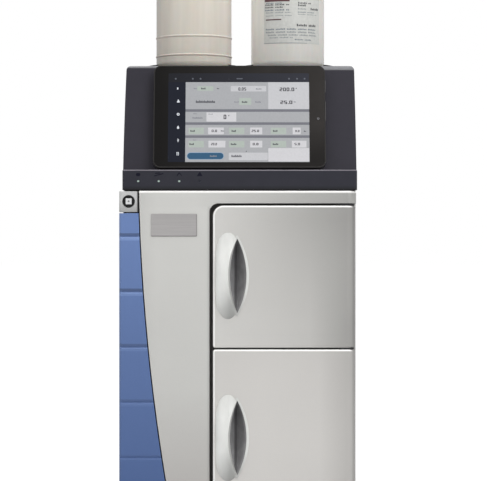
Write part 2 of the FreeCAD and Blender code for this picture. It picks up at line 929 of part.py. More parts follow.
def handle(name, middle):
    """A white moulding: a bulging grip beside a pointed hollow for the fingers."""
    cup = body(name + "_cup")
    pad(cup, lens(cup, "face", middle, "cup_half", "cup_bow", "cup_right"), "cup_depth", against=True)
    rim = body(name + "_rim")
    rim_outline = lens(rim, "face - rim_proud", middle, "cup_half + rim_lap", "cup_bow + rim_lap", "cup_right + rim_lap")
    pad(rim, rim_outline, "rim_proud", against=True)
    grip_x = "handle_x - grip_shift"
    swell = ring(
        name + "_swell",
        (grip_x, "face - handle_proud + grip_arc", middle),
        "grip_arc - grip_radius",
        "grip_radius",
        axis="x",
    )
    front = box(
        name + "_front",
        (grip_x + " - grip_radius - 1", grip_x + " + grip_radius + 1"),
        ("face - handle_proud - 1", "face"),
        (middle + " - grip_half - 1", middle + " + grip_half + 1"),
    )
    grip = common(name + "_grip", swell, front)
    mouth = body(name + "_mouth")
    mouth_outline = lens(mouth, "face + mouth_depth", middle, "mouth_half", "mouth_bow_left", "mouth_bow_right")
    flared = pad(mouth, mouth_outline, "handle_proud + 1 + mouth_depth")
    flared.setExpression("TaperAngle", bound("mouth_flare"))
    balls = [
        ball(name + "_left_ball", ("handle_x + left_shift", "face - scoop_ring + scoop_depth", middle), "left_ball"),
        ball(name + "_right_ball", ("handle_x - right_shift", "face - scoop_ring + scoop_depth", middle), "right_ball"),
    ]
    behind = box(
        name + "_behind",
        ("handle_x - mouth_bow_left", "handle_x + mouth_bow_right"),
        ("face + mouth_depth / 2", "face + cup_depth"),
        (middle + " - mouth_half", middle + " + mouth_half"),
    )
    scoop = common(name + "_scoop", common(name + "_valley", *balls), behind)
    return cut(name, fuse(name + "_solid", cup, rim, grip), mouth, scoop)


def hinges():
    """Three steel plates in the gaps beside the doors, and the pins that they hold."""
    plates, pins = [], []
    spots = (
        ("top", "upper_top", -1, ("upper_top - pin_grip", "pin_grip + hinge_lift + hinge_sheet")),
        ("middle", "lower_top", 1, ("lower_top - pin_grip", "2 * pin_grip + door_gap")),
        ("bottom", "base_top", 1, ("base_top + hinge_lift", "pin_grip + hinge_lift + hinge_sheet")),
    )
    for name, gap_floor, side, (pin_low, pin_length) in spots:
        low = gap_floor + " + hinge_lift"
        top = low + " + hinge_sheet"
        plate = box(
            "hinge_%s_plate" % name,
            ("hinge_x - hinge_half", "hinge_x + hinge_half"),
            ("hinge_y - hinge_half", "bulk_front"),
            (low, top),
        )
        flange = box(
            "hinge_%s_flange" % name,
            ("hinge_x - hinge_half", "hinge_x + hinge_half"),
            ("bulk_front - hinge_sheet", "bulk_front"),
            (low, top + " + hinge_flange") if side > 0 else (low + " - hinge_flange", top),
        )
        hole = rod("hinge_%s_hole" % name, "z", ("hinge_x", "hinge_y", low + " - 1"), "pin_radius", "hinge_sheet + 2")
        plates.append(cut("hinge_%s" % name, fuse("hinge_%s_angle" % name, plate, flange), hole))
        pins.append(rod("pin_" + name, "z", ("hinge_x", "hinge_y", pin_low), "pin_radius", pin_length))
    return [group("hinge_plates", *plates), group("hinge_pins", *pins)]


# Top cover, tray and tablet


def cover_form(name, gap, foot):
    """The outer form of the dark top, or the room inside it when drawn in by a gap."""
    item = body(name)
    top = "(deck_height - %s)" % gap
    bend = "(deck_round - %s)" % gap
    rise = "(%s - %s - (%s))" % (top, bend, foot)
    bow = "(%s^2 + %s^2) / (2 * %s)"
    left, right = "cabinet_left + " + gap, "cover_right - " + gap
    corners = [
        (left, foot),
        (right, foot, bow % (rise, "draft_right", "draft_right"), -1),
        (right + " - draft_right", "%s - %s" % (top, bend), bend, -1),
        ("%s - draft_right - %s" % (right, bend), top),
        ("%s + draft_left + %s" % (left, bend), top, bend, -1),
        (left + " + draft_left", "%s - %s" % (top, bend), bow % (rise, "draft_left", "draft_left"), -1),
    ]
    pad(item, outline(item, "XZ", "-(slope_foot + %s)" % gap, corners), "rear - slope_foot - 2 * " + gap, against=True)
    head, bevel = "(slope_head + %s * brow)" % gap, "(%s * brow)" % bend
    wedge = [
        ("slope_foot + " + gap, "strip_top - %s * tan(tablet_tilt / 2)" % gap),
        ("%s - %s * sin(tablet_tilt)" % (head, bevel), "%s - %s * cos(tablet_tilt)" % (top, bevel), bend, 1),
        ("%s + %s" % (head, bevel), top),
        ("%s + %s" % (head, bevel), top + " + 1"),
        ("slope_foot + %s - 1" % gap, top + " + 1"),
    ]
    pocket(item, outline(item, "YZ", "cover_right + 1", wedge), "cabinet_width + cover_overhang + 2")
    return item


def top_cover():
    """The dark top with its sloped front, thin walls and a shadow gap over the cabinet."""
    item = cover_form("top_cover_form", "0", "cover_bottom")
    recess = rectangle(("tray_left", "tray_left + tray_width"), ("tray_start", "tray_start + tray_length"))
    pocket(item, outline(item, "XY", "deck_height", recess), "tray_sheet / 2")
    vent = rectangle(("vent_left", "vent_left + vent_width"), ("cover_bottom + 40", "cover_bottom + 40 + vent_slot"))
    first = pocket(item, outline(item, "XZ", "-(rear - cover_wall - 1)", vent), "cover_wall + 2")
    pattern(item, [first], "LinearPattern", "Z", "vent_pitch * 6", "7")
    hollow = cut("top_cover_shell", item, cover_form("top_cover_room", "cover_wall", "cover_bottom - 1"))
    lip = cut(
        "top_cover_lip",
        box(
            "top_cover_lip_outer",
            ("cabinet_left + lip_inset", "edge_right - lip_inset"),
            ("slope_foot", "rear - lip_inset"),
            ("cabinet_top", "cover_bottom + 1"),
        ),
        box(
            "top_cover_lip_inner",
            ("cabinet_left + lip_inset + cover_wall", "edge_right - lip_inset - cover_wall"),
            ("slope_foot + cover_wall", "rear - lip_inset - cover_wall"),
            ("cabinet_top - 1", "cover_bottom + 2"),
        ),
    )
    return fuse("top_cover", hollow, lip)


def status_band():
    """The dark strip under the tablet, with holes for its light pipes."""
    item = body("status_band_shell")
    corners = rectangle(("cabinet_left", "cover_right"), ("cover_bottom", "strip_top"))
    pad(item, outline(item, "XZ", "-(face)", corners), "strip_depth", against=True)
    face = number("face")
    fillet(item, "3", lambda e: edge_at(y=face)(e) and e.BoundBox.ZLength > 5)
    shell(item, "front_wall", face_at("y", number("slope_foot")))
    spots = [("cabinet_left + light_first + %d * light_pitch" % i, "light_z", "light_radius") for i in range(4)]
    pocket(item, circles(item, "XZ", "-(face)", spots), "cover_wall + 1")
    top = number("strip_top")
    across = number("tablet_width")
    fillet(item, "band_round", lambda e: edge_at(z=top)(e) and near(e.BoundBox.YMin, face) and e.BoundBox.XLength > across)
    lip = box(
        "status_band_lip",
        ("cabinet_left + lip_inset", "edge_right - lip_inset"),
        ("face + lip_inset", "slope_foot"),
        ("cabinet_top", "cover_bottom"),
    )
    return fuse("status_band", item, lip)


def status_lights():
    spots = ["cabinet_left + light_first + %d * light_pitch" % i for i in range(4)]
    return group(
        "status_lights",
        *[
            rod("light_pipe_%d" % i, "y", (x, "face - 0.3", "light_z"), "light_radius - 0.05", "cover_wall + 4")
            for i, x in enumerate(spots, start=1)
        ],
    )


def bottle_tray():
    """The tray in the deck: two round wells open at the front, and a low-walled shelf behind them."""
    item = body("tray_plate")
    plate = rectangle(
        ("tray_left + 0.1", "tray_left + tray_width - 0.1"), ("tray_start + 0.1", "tray_start + tray_length - 0.1")
    )
    pad(item, outline(item, "XY", "tray_floor", plate), "tray_sheet")
    pieces = [item]
    collars, wells = [], []
    for name, x in (("left", "bottle_left_x"), ("right", "bottle_right_x")):
        centre = (x, "bottle_y", "deck_top")
        collars.append(rod("well_%s_wall" % name, "z", centre, "well_radius + well_wall", "well_rise"))
        inner = (x, "bottle_y", "deck_top - 0")
        wells.append(rod("well_%s_room" % name, "z", inner, "well_radius", "well_rise + 1"))
        wells.append(
            box(
                "well_%s_mouth" % name,
                (x + " - well_mouth / 2", x + " + well_mouth / 2"),
                ("bottle_y - well_radius - well_wall - 1", "bottle_y"),
                ("deck_top", "deck_top + well_rise + 1"),
            )
        )
    pieces.append(cut("well_walls", fuse("well_blanks", *collars), *wells))
    outer = ("tray_left + 4", "tray_left + tray_width - 4")
    start, end = "bottle_y + well_radius + well_wall + 4", "tray_start + tray_length - 4"
    fence = cut(
        "shelf_wall",
        box("shelf_wall_outer", outer, (start, end), ("deck_top", "deck_top + well_rise")),
        box(
            "shelf_wall_inner",
            ("tray_left + 4 + well_wall", "tray_left + tray_width - 4 - well_wall"),
            (start + " + well_wall", end + " - well_wall"),
            ("deck_top", "deck_top + well_rise + 1"),
        ),
    )
    pieces.append(fence)
    return fuse("bottle_tray", *pieces)


def tilt(item, angle, spot):
    """Places a body and tips its top back by an angle."""
    item.Placement = FreeCAD.Placement(V(), FreeCAD.Rotation(V(1, 0, 0), -1))
    item.setExpression("Placement.Rotation.Angle", bound("-" + angle))
    for axis, text in zip("xyz", spot):
        item.setExpression("Placement.Base." + axis, bound(text))
    doc.recompute()
    return item


def tablet_parts():
    """The tablet in its own upright axes: its holder, back shell, glass and two side keys."""
    half, low, high = "tablet_width / 2", "tablet_low", "tablet_low + tablet_height"
    back = "-(-cradle_thickness)"
    front = "-(-cradle_thickness - tablet_thickness)"

    cradle = body("tablet_cradle")
    plate = rectangle(
        ("-(%s) + cradle_margin" % half, half + " - cradle_margin"),
        (low + " + cradle_margin", high + " - cradle_margin"),
    )
    pad(cradle, outline(cradle, "XZ", back, plate), "cradle_thickness", against=True)

    def inset(gap):
        sides = ("-(%s) + %s" % (half, gap), "%s - %s" % (half, gap)), ("%s + %s" % (low, gap), "%s - %s" % (high, gap))
        return rounded(*sides, "(tablet_corner - %s)" % gap)

    case = body("tablet_back")
    pad(case, outline(case, "XZ", front, inset("0")), "tablet_thickness", against=True)
    rear_plane = number("-cradle_thickness")
    front_plane = number("-cradle_thickness - tablet_thickness")
    fillet(case, "tablet_round", edge_at(y=rear_plane))
    fillet(case, "0.5", edge_at(y=front_plane))
    pocket(case, outline(case, "XZ", front, inset("glass_rim")), "glass_sheet")
    pocket(case, outline(case, "XZ", front, inset("case_wall")), "tablet_thickness - case_wall")
    middle = "-cradle_thickness - tablet_thickness / 2 + 0.5"
    keys = (("tablet_power_key", "%s - 26" % high, "key_width"), ("tablet_volume_key", "%s - 58" % high, "volume_width"))
    for _, z, length in keys:
        slot = rectangle(
            (middle + " - key_depth / 2 - key_play", middle + " + key_depth / 2 + key_play"),
            ("%s - %s / 2 - key_play" % (z, length), "%s + %s / 2 + key_play" % (z, length)),
        )
        pocket(case, outline(case, "YZ", half + " + 1", slot), "case_wall + 2")

    glass = body("tablet_glass")
    pad(glass, outline(glass, "XZ", front, inset("(glass_rim + glass_play)")), "glass_sheet", against=True)

    parts = [cradle, case, glass]
    for name, z, length in keys:
        key = body(name)
        shape = rectangle(
            (middle + " - key_depth / 2", middle + " + key_depth / 2"),
            ("%s - %s / 2" % (z, length), "%s + %s / 2" % (z, length)),
        )
        reach = half + " - case_wall - 1"
        pad(key, outline(key, "YZ", reach, shape), "case_wall + 1 + key_proud")
        tip = number(half + " + key_proud")
        fillet(key, "0.4", edge_at(x=tip))
        parts.append(key)
    foot_of_slope = ("cabinet_middle", "slope_foot", "strip_top")
    return [tilt(item, "tablet_tilt", foot_of_slope) for item in parts]


# Bottles


def bottle(name, x, radius, beads):
    """A hollow bottle with a rounded foot, a domed shoulder and a short neck."""
    item = body(name + "_shell")
    foot, wall, neck = "bottle_foot_round", "bottle_wall", "neck_radius"
    shoulder, top = "bottle_shoulder_height", "bottle_height"
    bend = "shoulder_radius"
    corners = [
        ("0", "0"),
        ("%s - %s" % (radius, foot), "0", foot, -1),
        (radius, foot),
        (radius, shoulder, bend, -1),
        (neck, "%s + bottle_shoulder_rise" % shoulder),
        (neck, top),
        ("%s - %s" % (neck, wall), top),
        ("%s - %s" % (neck, wall), "%s + bottle_shoulder_rise" % shoulder, "%s - %s" % (bend, wall), 1),
        ("%s - %s" % (radius, wall), shoulder),
        ("%s - %s" % (radius, wall), foot, "%s - %s" % (foot, wall), 1),
        ("%s - %s" % (radius, foot), wall),
        ("0", wall),
    ]
    profile = outline(item, "XZ", "0", corners)
    turned = item.newObject("PartDesign::Revolution", name + "_turned")
    turned.Profile = profile
    turned.ReferenceAxis = (profile, ["V_Axis"])
    turned.Angle = 360
    place(item, x, "bottle_y", "deck_top")
    doc.recompute()
    if not beads:
        item.Label = name
        return item
    bands = [
        ring("%s_bead_%d" % (name, i), (x, "bottle_y", "deck_top + " + z), "%s - bead_sink" % radius, "bead_radius")
        for i, z in enumerate(beads, start=1)
    ]
    return fuse(name, item, *bands)


def cap(name, x):
    """A ribbed screw cap, hollow from below."""
    item = body(name)
    outer = "neck_radius + cap_play + cap_wall"
    pad(item, circles(item, "XY", "0", [("0", "0", outer)]), "cap_height")
    top = number("cap_height")
    fillet(item, "1.2", lambda e: edge_at(z=top)(e))
    pocket(item, circles(item, "XY", "0", [("0", "0", "neck_radius + cap_play")]), "cap_height - cap_wall", along=True)
    groove = circles(item, "XY", "0", [(outer + " + 0.5", "0", "1.3")])
    first = pocket(item, groove, "cap_height - 3", along=True)
    pattern(item, [first], "PolarPattern", "Z", None, "cap_ribs")
    place(item, x, "bottle_y", "deck_top + bottle_height - cap_height + cap_wall + 0.2")
    doc.recompute()
    return item


# Upper compartment


def compartment(name, low, high, holes):
    """A moulded tub behind the front plate, open to the door."""
    bottom, top = low + " + window_margin", high + " - window_margin"
    outer = box(
        name + "_outer",
        ("window_left - tub_wall", "window_right + tub_wall"),
        ("bulk_back", "tub_back"),
        (bottom + " - tub_wall", top + " + tub_wall"),
    )
    rim = box(
        name + "_rim",
        ("window_left - tub_flange", "window_right + tub_flange"),
        ("bulk_back", "bulk_back + tub_wall"),
        (bottom + " - tub_flange", top + " + tub_flange"),
    )
    room = box(
        name + "_room", ("window_left", "window_right"), ("bulk_back - 1", "valve_back"), (bottom, top)
    )
    drills = [
        rod("%s_hole_%d" % (name, i), "y", (x, "valve_back - 1", z), radius, "tub_wall + 2")
        for i, (x, z, radius) in enumerate(holes, start=1)
    ]
    return cut(name, fuse(name + "_walls", outer, rim), room, *drills)


def valve_parts():
    """The six-port injection valve on the back wall, its rotor, its drive behind the wall, fittings and loop."""
    front = "valve_back - valve_length"
    body_rod = rod("valve_barrel", "y", ("valve_x", front, "valve_z"), "valve_radius", "valve_length")
    flange = rod("valve_flange", "y", ("valve_x", "valve_back - 4", "valve_z"), "valve_flange_radius", "4")
    cavity = rod(
        "valve_cavity", "y", ("valve_x", "valve_back - rotor_length", "valve_z"), "rotor_radius + rotor_play",
        "rotor_length + 1",
    )
    stator = cut("injection_valve", fuse("valve_solid", body_rod, flange), cavity)
    rotor = fuse(
        "valve_rotor",
        rod(
            "rotor_disc", "y", ("valve_x", "valve_back - rotor_length + 0.1", "valve_z"), "rotor_radius",
            "rotor_length - 0.6",
        ),
        rod("rotor_shaft", "y", ("valve_x", "valve_back - 2", "valve_z"), "shaft_radius", "tub_wall + 2 + shaft_grip"),
        box(
            "rotor_dog",
            ("valve_x - 1.5", "valve_x + 1.5"),
            ("tub_back + 2", "tub_back + shaft_grip - 2"),
            ("valve_z", "valve_z + shaft_radius + 2"),
        ),
    )
    motor = fuse(
        "actuator_solid",
        rod("actuator_gearbox", "y", ("valve_x", "tub_back", "valve_z"), "actuator_radius", "gearbox_length"),
        box(
            "actuator_motor",
            ("valve_x - motor_side / 2", "valve_x + motor_side / 2"),
            ("tub_back + gearbox_length", "tub_back + gearbox_length + motor_length"),
            ("valve_z - motor_side / 2", "valve_z + motor_side / 2"),
        ),
    )
    bore = rod("actuator_bore", "y", ("valve_x", "tub_back - 1", "valve_z"), "shaft_radius + 2.4", "shaft_grip + 2")
    actuator = cut("valve_actuator", motor, bore)
    angles = [30 + 60 * i for i in range(6)]
    fittings = [
        fuse(
            "valve_fitting_%d" % i,
            rod("fitting_%d_nut" % i, "y", (x, front + " - port_length", z), "port_radius", "port_length"),
            rod("fitting_%d_grip" % i, "y", (x, front + " - port_length", z), "port_radius + 1.2", "6"),
        )
        for i, (x, z) in enumerate(
            [("valve_x + port_circle * cos(%d)" % a, "valve_z + port_circle * sin(%d)" % a) for a in angles], start=1
        )
    ]
    loop = ring("sample_loop", ("valve_x", front + " - port_length - tube_radius", "loop_z"), "loop_radius", "tube_radius")
    loop.Placement = FreeCAD.Placement(V(), FreeCAD.Rotation(V(1, 0, 0), 90))
    for axis, text in zip("xyz", ("valve_x", front + " - port_length - tube_radius", "loop_z")):
        loop.setExpression("Placement.Base." + axis, bound(text))
    return [stator, rotor, actuator, group("valve_fittings", *fittings), loop]


def column(name, x, length):
    """A separation column: a tube with a nut at each end and a stub of capillary at each nut."""
    y, low = "valve_back - column_stand", "column_middle - (%s) / 2" % length
    high = "column_middle + (%s) / 2" % length
    return fuse(
        name,
        rod(name + "_tube", "z", (x, y, low), "column_radius", length),
        rod(name + "_low_nut", "z", (x, y, low), "column_nut_radius", "column_nut_length"),
        rod(name + "_high_nut", "z", (x, y, high + " - column_nut_length"), "column_nut_radius", "column_nut_length"),
        rod(name + "_stub", "z", (x, y, low + " - 5"), "tube_radius", "%s + 10" % length),
    )


def column_clips():
    """Open clips that hold the two columns off the back wall."""
    clips = []
    for name, x, reach in (
        ("main", "column_x", "column_length / 2 - clip_end"),
        ("guard", "column_x - guard_offset", "0"),
    ):
        for side in ("-", "+") if reach != "0" else ("+",):
            z = "column_middle %s (%s)" % (side, reach)
            label = "clip_%s_%s" % (name, "low" if side == "-" else "high")
            block = box(
                label + "_block",
                (x + " - clip_width / 2", x + " + clip_width / 2"),
                ("valve_back - column_stand - clip_lip", "valve_back"),
                (z + " - clip_height / 2", z + " + clip_height / 2"),
            )
            bore = rod(
                label + "_bore", "z", (x, "valve_back - column_stand", z + " - clip_height / 2 - 1"),
                "column_radius + 0.05", "clip_height + 2",
            )
            slot = box(
                label + "_slot",
                (x + " - column_radius + 1", x + " + column_radius - 1"),
                ("valve_back - column_stand - clip_lip - 1", "valve_back - column_stand"),
                (z + " - clip_height / 2 - 1", z + " + clip_height / 2 + 1"),
            )
            clips.append(cut(label, block, bore, slot))
    return group("column_clips", *clips)


def suppressor():
    """A slim cartridge module with two ports on top and two underneath."""
    x, z = "suppressor_x", "suppressor_z"
    block = box(
        "suppressor_block",
        (x + " - suppressor_width / 2", x + " + suppressor_width / 2"),
        ("valve_back - suppressor_depth", "valve_back"),
        (z + " - suppressor_height / 2", z + " + suppressor_height / 2"),
    )
    ports = [
        rod(
            "suppressor_port_%d" % i, "z", ("%s %s 7" % (x, side), "valve_back - suppressor_depth / 2", start),
            "port_radius + 0.8", "10",
        )
        for i, (side, start) in enumerate(
            [(s, h) for s in "-+" for h in (z + " + suppressor_height / 2", z + " - suppressor_height / 2 - 10")], 1
        )
    ]
    return fuse("suppressor", block, *ports)


def conductivity_cell():
    x, z = "cell_x", "cell_z"
    block = box(
        "cell_block",
        (x + " - cell_side / 2", x + " + cell_side / 2"),
        ("valve_back - cell_depth", "valve_back"),
        (z + " - cell_side / 2", z + " + cell_side / 2"),
    )
    face = "valve_back - cell_depth - 8"
    return fuse(
        "conductivity_cell",
        block,
        rod("cell_inlet", "y", (x + " - 8", face, z), "port_radius + 0.8", "8"),
        rod("cell_outlet", "y", (x + " + 8", face, z), "port_radius + 0.8", "8"),
    )


# Lower compartment


def pump_head(name, x, knob):
    """A steel head: barrel, wall flange and a flat boss above and below for its check valves."""
    z, front = "pump_height", "head_front"
    pieces = [
        rod(name + "_barrel", "y", (x, front, z), "head_radius", "head_length"),
        rod(name + "_flange", "y", (x, "valve_back - head_back", z), "head_flange", "head_back"),
        box(
            name + "_boss",
            (x + " - check_radius - 1.5", x + " + check_radius + 1.5"),
            (front + " + 8", front + " + 8 + 2 * check_radius + 3"),
            ("%s - head_radius - 2" % z, "%s + head_radius + 2" % z),
        ),
    ]
    bores = [
        rod(name + "_bore", "y", (x, "valve_back - piston_length", z), "piston_radius + seal_play", "piston_length + 1")
    ]
    if knob:
        bores.append(rod(name + "_knob_bore", "y", (x, front + " - 1", z), "knob_stem + seal_play", "stem_grip + 2"))
    return cut(name, fuse(name + "_solid", *pieces), *bores)


def check_valves():
    """Four hexagonal check valves, one above and one below each head."""
    valves = []
    for name, x in (("left", "pump_left_x"), ("right", "pump_right_x")):
        for side, start in (
            ("inlet", "pump_height - head_radius - 2 - check_length"),
            ("outlet", "pump_height + head_radius + 2"),
        ):
            item = doc.addObject("Part::Prism", "check_%s_%s" % (name, side))
            item.Polygon = 6
            item.setExpression("Circumradius", bound("check_radius"))
            item.setExpression("Height", bound("check_length"))
            valves.append(place(item, x, "head_front + 9.5 + check_radius", start))
    return group("check_valves", *valves)


def piston(name, x):
    """A ceramic rod on its carrier, at the middle of its stroke."""
    front = "valve_back - piston_length + piston_stroke / 2 + 1"
    joint = "tub_back + piston_stroke / 2 + 2"
    return fuse(
        name,
        rod(name + "_rod", "y", (x, front, "pump_height"), "piston_radius", "%s - (%s)" % (joint, front)),
        rod(name + "_carrier", "y", (x, joint, "pump_height"), "carrier_radius", "carrier_length"),
    )


def pump_drive():
    """The drive housing behind the compartment's back wall, with a guide bore for each carrier and a motor."""
    block = box(
        "drive_block",
        ("pump_left_x - drive_margin", "pump_right_x + drive_margin"),
        ("tub_back", "tub_back + drive_depth"),
        ("pump_height - drive_height / 2", "pump_height + drive_height / 2"),
    )
    middle = ("(pump_left_x + pump_right_x) / 2", "tub_back + drive_depth", "pump_height")
    motor = rod("drive_motor", "y", middle, "drive_motor_radius", "drive_motor_length")
    depth = "carrier_length + piston_stroke + 6"
    guides = [
        rod("drive_guide_%s" % n, "y", (x, "tub_back - 1", "pump_height"), "carrier_radius + 0.08", depth + " + 1")
        for n, x in (("left", "pump_left_x"), ("right", "pump_right_x"))
    ]
    return cut("pump_drive", fuse("drive_solid", block, motor), *guides)


def knob(name, x, front, z):
    """A fluted knob with a stem that turns in its bore."""
    item = body(name)
    pad(item, circles(item, "XZ", "0", [("0", "0", "knob_radius")]), "knob_length")
    tip = number("-knob_length")
    fillet(item, "1", lambda e: edge_at(y=tip)(e))
    first = pocket(item, circles(item, "XZ", "0", [("knob_radius + 1.2", "0", "2.4")]), "knob_length + 1", along=True)
    pattern(item, [first], "PolarPattern", "Y", None, "knob_flutes")
    pad(item, circles(item, "XZ", "0", [("0", "0", "knob_stem")]), "stem_grip", against=True)
    place(item, x, front + " - 0.2", z)
    doc.recompute()
    return item


def pressure_transducer():
    x, z = "transducer_x", "transducer_z"
    block = box(
        "transducer_block",
        (x + " - transducer_width / 2", x + " + transducer_width / 2"),
        ("valve_back - transducer_depth", "valve_back"),
        (z + " - transducer_height / 2", z + " + transducer_height / 2"),
    )
    sensor = rod("transducer_sensor", "z", (x + " - 13", "valve_back - 16", z + " + transducer_height / 2"), "8", "14")
    bore = rod(
        "transducer_bore", "y", (x + " + 12", "valve_back - transducer_depth - 1", z), "knob_stem + seal_play",
        "stem_grip + 2",
    )
    return cut("pressure_transducer", fuse("transducer_solid", block, sensor), bore)


def eluent_cartridge():
    """A white cartridge that stands on the compartment's floor, with its cap and port."""
    y, low = "valve_back - cartridge_radius - 2", "lower_bottom + window_margin"
    return fuse(
        "eluent_cartridge",
        rod("cartridge_can", "z", ("cartridge_x", y, low), "cartridge_radius", "cartridge_height"),
        rod(
            "cartridge_lid", "z", ("cartridge_x", y, low + " + cartridge_height"), "cartridge_radius - 3", "10"
        ),
        rod("cartridge_port", "z", ("cartridge_x", y, low + " + cartridge_height + 10"), "port_radius + 0.8", "9"),
    )


# Rear and electronics


def fan_parts():
    """The rear fan: a square frame with a motor stub on four struts, and its seven-bladed rotor."""
    x, z = "fan_x", "fan_height"
    back = "rear - cover_sheet"
    front = back + " - fan_depth"
    half = "fan_side / 2"
    frame = cut(
        "fan_duct",
        box("fan_square", (x + " - " + half, x + " + " + half), (front, back), (z + " - " + half, z + " + " + half)),
        rod("fan_hole", "y", (x, front + " - 1", z), "fan_bore", "fan_depth + 2"),
    )
    struts = [
        box("fan_strut_x", (x + " - fan_bore - 0.5", x + " + fan_bore + 0.5"), (front, front + " + 3"), (z + " - 2", z + " + 2")),
        box("fan_strut_z", (x + " - 2", x + " + 2"), (front, front + " + 3"), (z + " - fan_bore - 0.5", z + " + fan_bore + 0.5")),
        rod("fan_motor", "y", (x, front, z), "fan_hub", "4"),
        rod("fan_stub", "y", (x, front, z), "2", "fan_depth - 4"),
    ]
    hub = cut(
        "fan_hub_part",
        rod("fan_hub_blank", "y", (x, front + " + 4.5", z), "fan_hub", "fan_depth - 7"),
        rod("fan_hub_bore", "y", (x, front + " + 4", z), "2.05", "fan_depth - 7.9"),
    )
    blades = []
    for i in range(7):
        blade = doc.addObject("Part::Box", "fan_blade_%d" % (i + 1))
        blade.setExpression("Length", bound("fan_bore - fan_hub + 0.5"))
        blade.Width = 1.4
        blade.setExpression("Height", bound("fan_depth - 9"))
        turn = FreeCAD.Rotation(V(0, 1, 0), 360 / 7 * i) * FreeCAD.Rotation(V(1, 0, 0), -56)
        offset = turn.multVec(V(number("fan_hub - 1.5"), -0.7, number("-(fan_depth - 9) / 2")))
        blade.Placement = FreeCAD.Placement(offset, turn)
        for axis, text, move in zip("xyz", (x, front + " + 4.5 + (fan_depth - 7) / 2", z), offset):
            blade.setExpression("Placement.Base." + axis, bound("%s + (%.4f)" % (text, move)))
        blades.append(blade)
    return [fuse("fan_frame", frame, *struts), fuse("fan_rotor", hub, *blades)]


def mains_parts():
    """The mains inlet with its lip and socket, and the rocker above the socket."""
    x, z = "inlet_x", "inlet_z"
    block = box(
        "inlet_block",
        (x + " - inlet_width / 2 + 0.1", x + " + inlet_width / 2 - 0.1"),
        ("rear - inlet_depth", "rear"),
        (z + " - inlet_height / 2 + 0.1", z + " + inlet_height / 2 - 0.1"),
    )
    lip = box(
        "inlet_lip_plate",
        (x + " - inlet_width / 2 - 3", x + " + inlet_width / 2 + 3"),
        ("rear", "rear + inlet_lip"),
        (z + " - inlet_height / 2 - 3", z + " + inlet_height / 2 + 3"),
    )
    socket = box(
        "inlet_socket",
        (x + " - 12", x + " + 12"),
        ("rear - socket_depth", "rear + inlet_lip + 1"),
        (z + " - 22", z + " - 6"),
    )
    pins = [
        box("inlet_pin_%d" % i, (px + " - 1", px + " + 1"), ("rear - socket_depth - 1", "rear - 2"), (pz + " - 2", pz + " + 2"))
        for i, (px, pz) in enumerate(((x + " - 7", z + " - 16"), (x + " + 7", z + " - 16"), (x, z + " - 11")), 1)
    ]
    axis = ("rear - rocker_sink", "inlet_z + rocker_rise")
    room = rod("rocker_room", "x", (x + " - rocker_half - 0.3", *axis), "rocker_radius + 0.3", "2 * rocker_half + 0.6")
    mouth = box(
        "rocker_mouth",
        (x + " - rocker_half - 0.3", x + " + rocker_half + 0.3"),
        ("rear - 2", "rear + inlet_lip + 1"),
        ("inlet_z + rocker_rise - rocker_radius - 0.3", "inlet_z + rocker_rise + rocker_radius + 0.3"),
    )
    stub = rod("rocker_axle", "x", (x + " - rocker_half - 3", *axis), "1.5", "2 * rocker_half + 6")
    inlet = fuse("mains_inlet", cut("inlet_shell", fuse("inlet_solid", block, lip), socket, room, mouth), *pins, stub)
    rocker = body("mains_switch")
    corners = [
        ("-rocker_back", "-rocker_height"),
        ("rocker_face", "-rocker_height"),
        ("rocker_face - 1.6", "0"),
        ("rocker_face", "rocker_height"),
        ("-rocker_back", "rocker_height"),
    ]
    pad(rocker, outline(rocker, "YZ", "-rocker_half", corners), "2 * rocker_half")
    pocket(rocker, circles(rocker, "YZ", "-rocker_half", [("0", "0", "1.55")]), "2 * rocker_half", along=True)
    return [inlet, tilt(rocker, "rocker_tilt", (x, *axis[:1], axis[1]))]


def rear_ports():
    """The block of data sockets on the back, and the two drain spouts beside the base."""
    x = "port_x - port_width / 2"
    block = box(
        "port_block_body",
        (x + " + 0.1", x + " + port_width - 0.1"),
        ("rear - port_depth", "rear + 1"),
        ("port_z + 0.1", "port_z + port_block - 0.1"),
    )
    sockets = [
        box(
            "port_socket_%d" % i,
            (start, "%s + %s" % (start, wide)),
            ("rear - port_depth + 5", "rear + 2"),
            ("port_z + socket_gap + 0.5", "port_z + socket_gap + 0.5 + " + tall),
        )
        for i, (start, wide, tall) in enumerate(
            [
                (x + " + socket_gap", "network_width", "network_height"),
                (x + " + 2 * socket_gap + network_width", "data_width", "data_height"),
                (x + " + 3 * socket_gap + network_width + data_width", "data_width", "data_height"),
            ],
            start=1,
        )
    ]
    spouts = [
        fuse(
            "drain_" + side,
            rod("drain_%s_pipe" % side, "y", (at, "rear", "drain_z"), "drain_radius", "rear_proud"),
            rod("drain_%s_collar" % side, "y", (at, "rear", "drain_z"), "drain_radius + 2.5", "3"),
            cone("drain_%s_barb" % side, "y", (at, "rear + 7", "drain_z"), "drain_radius + 1.2", "drain_radius", "6"),
        )
        for side, at in (("left", "drain_x"), ("right", "drain_x + drain_pitch"))
    ]
    return group("rear_ports", cut("port_sockets", block, *sockets), *spouts)


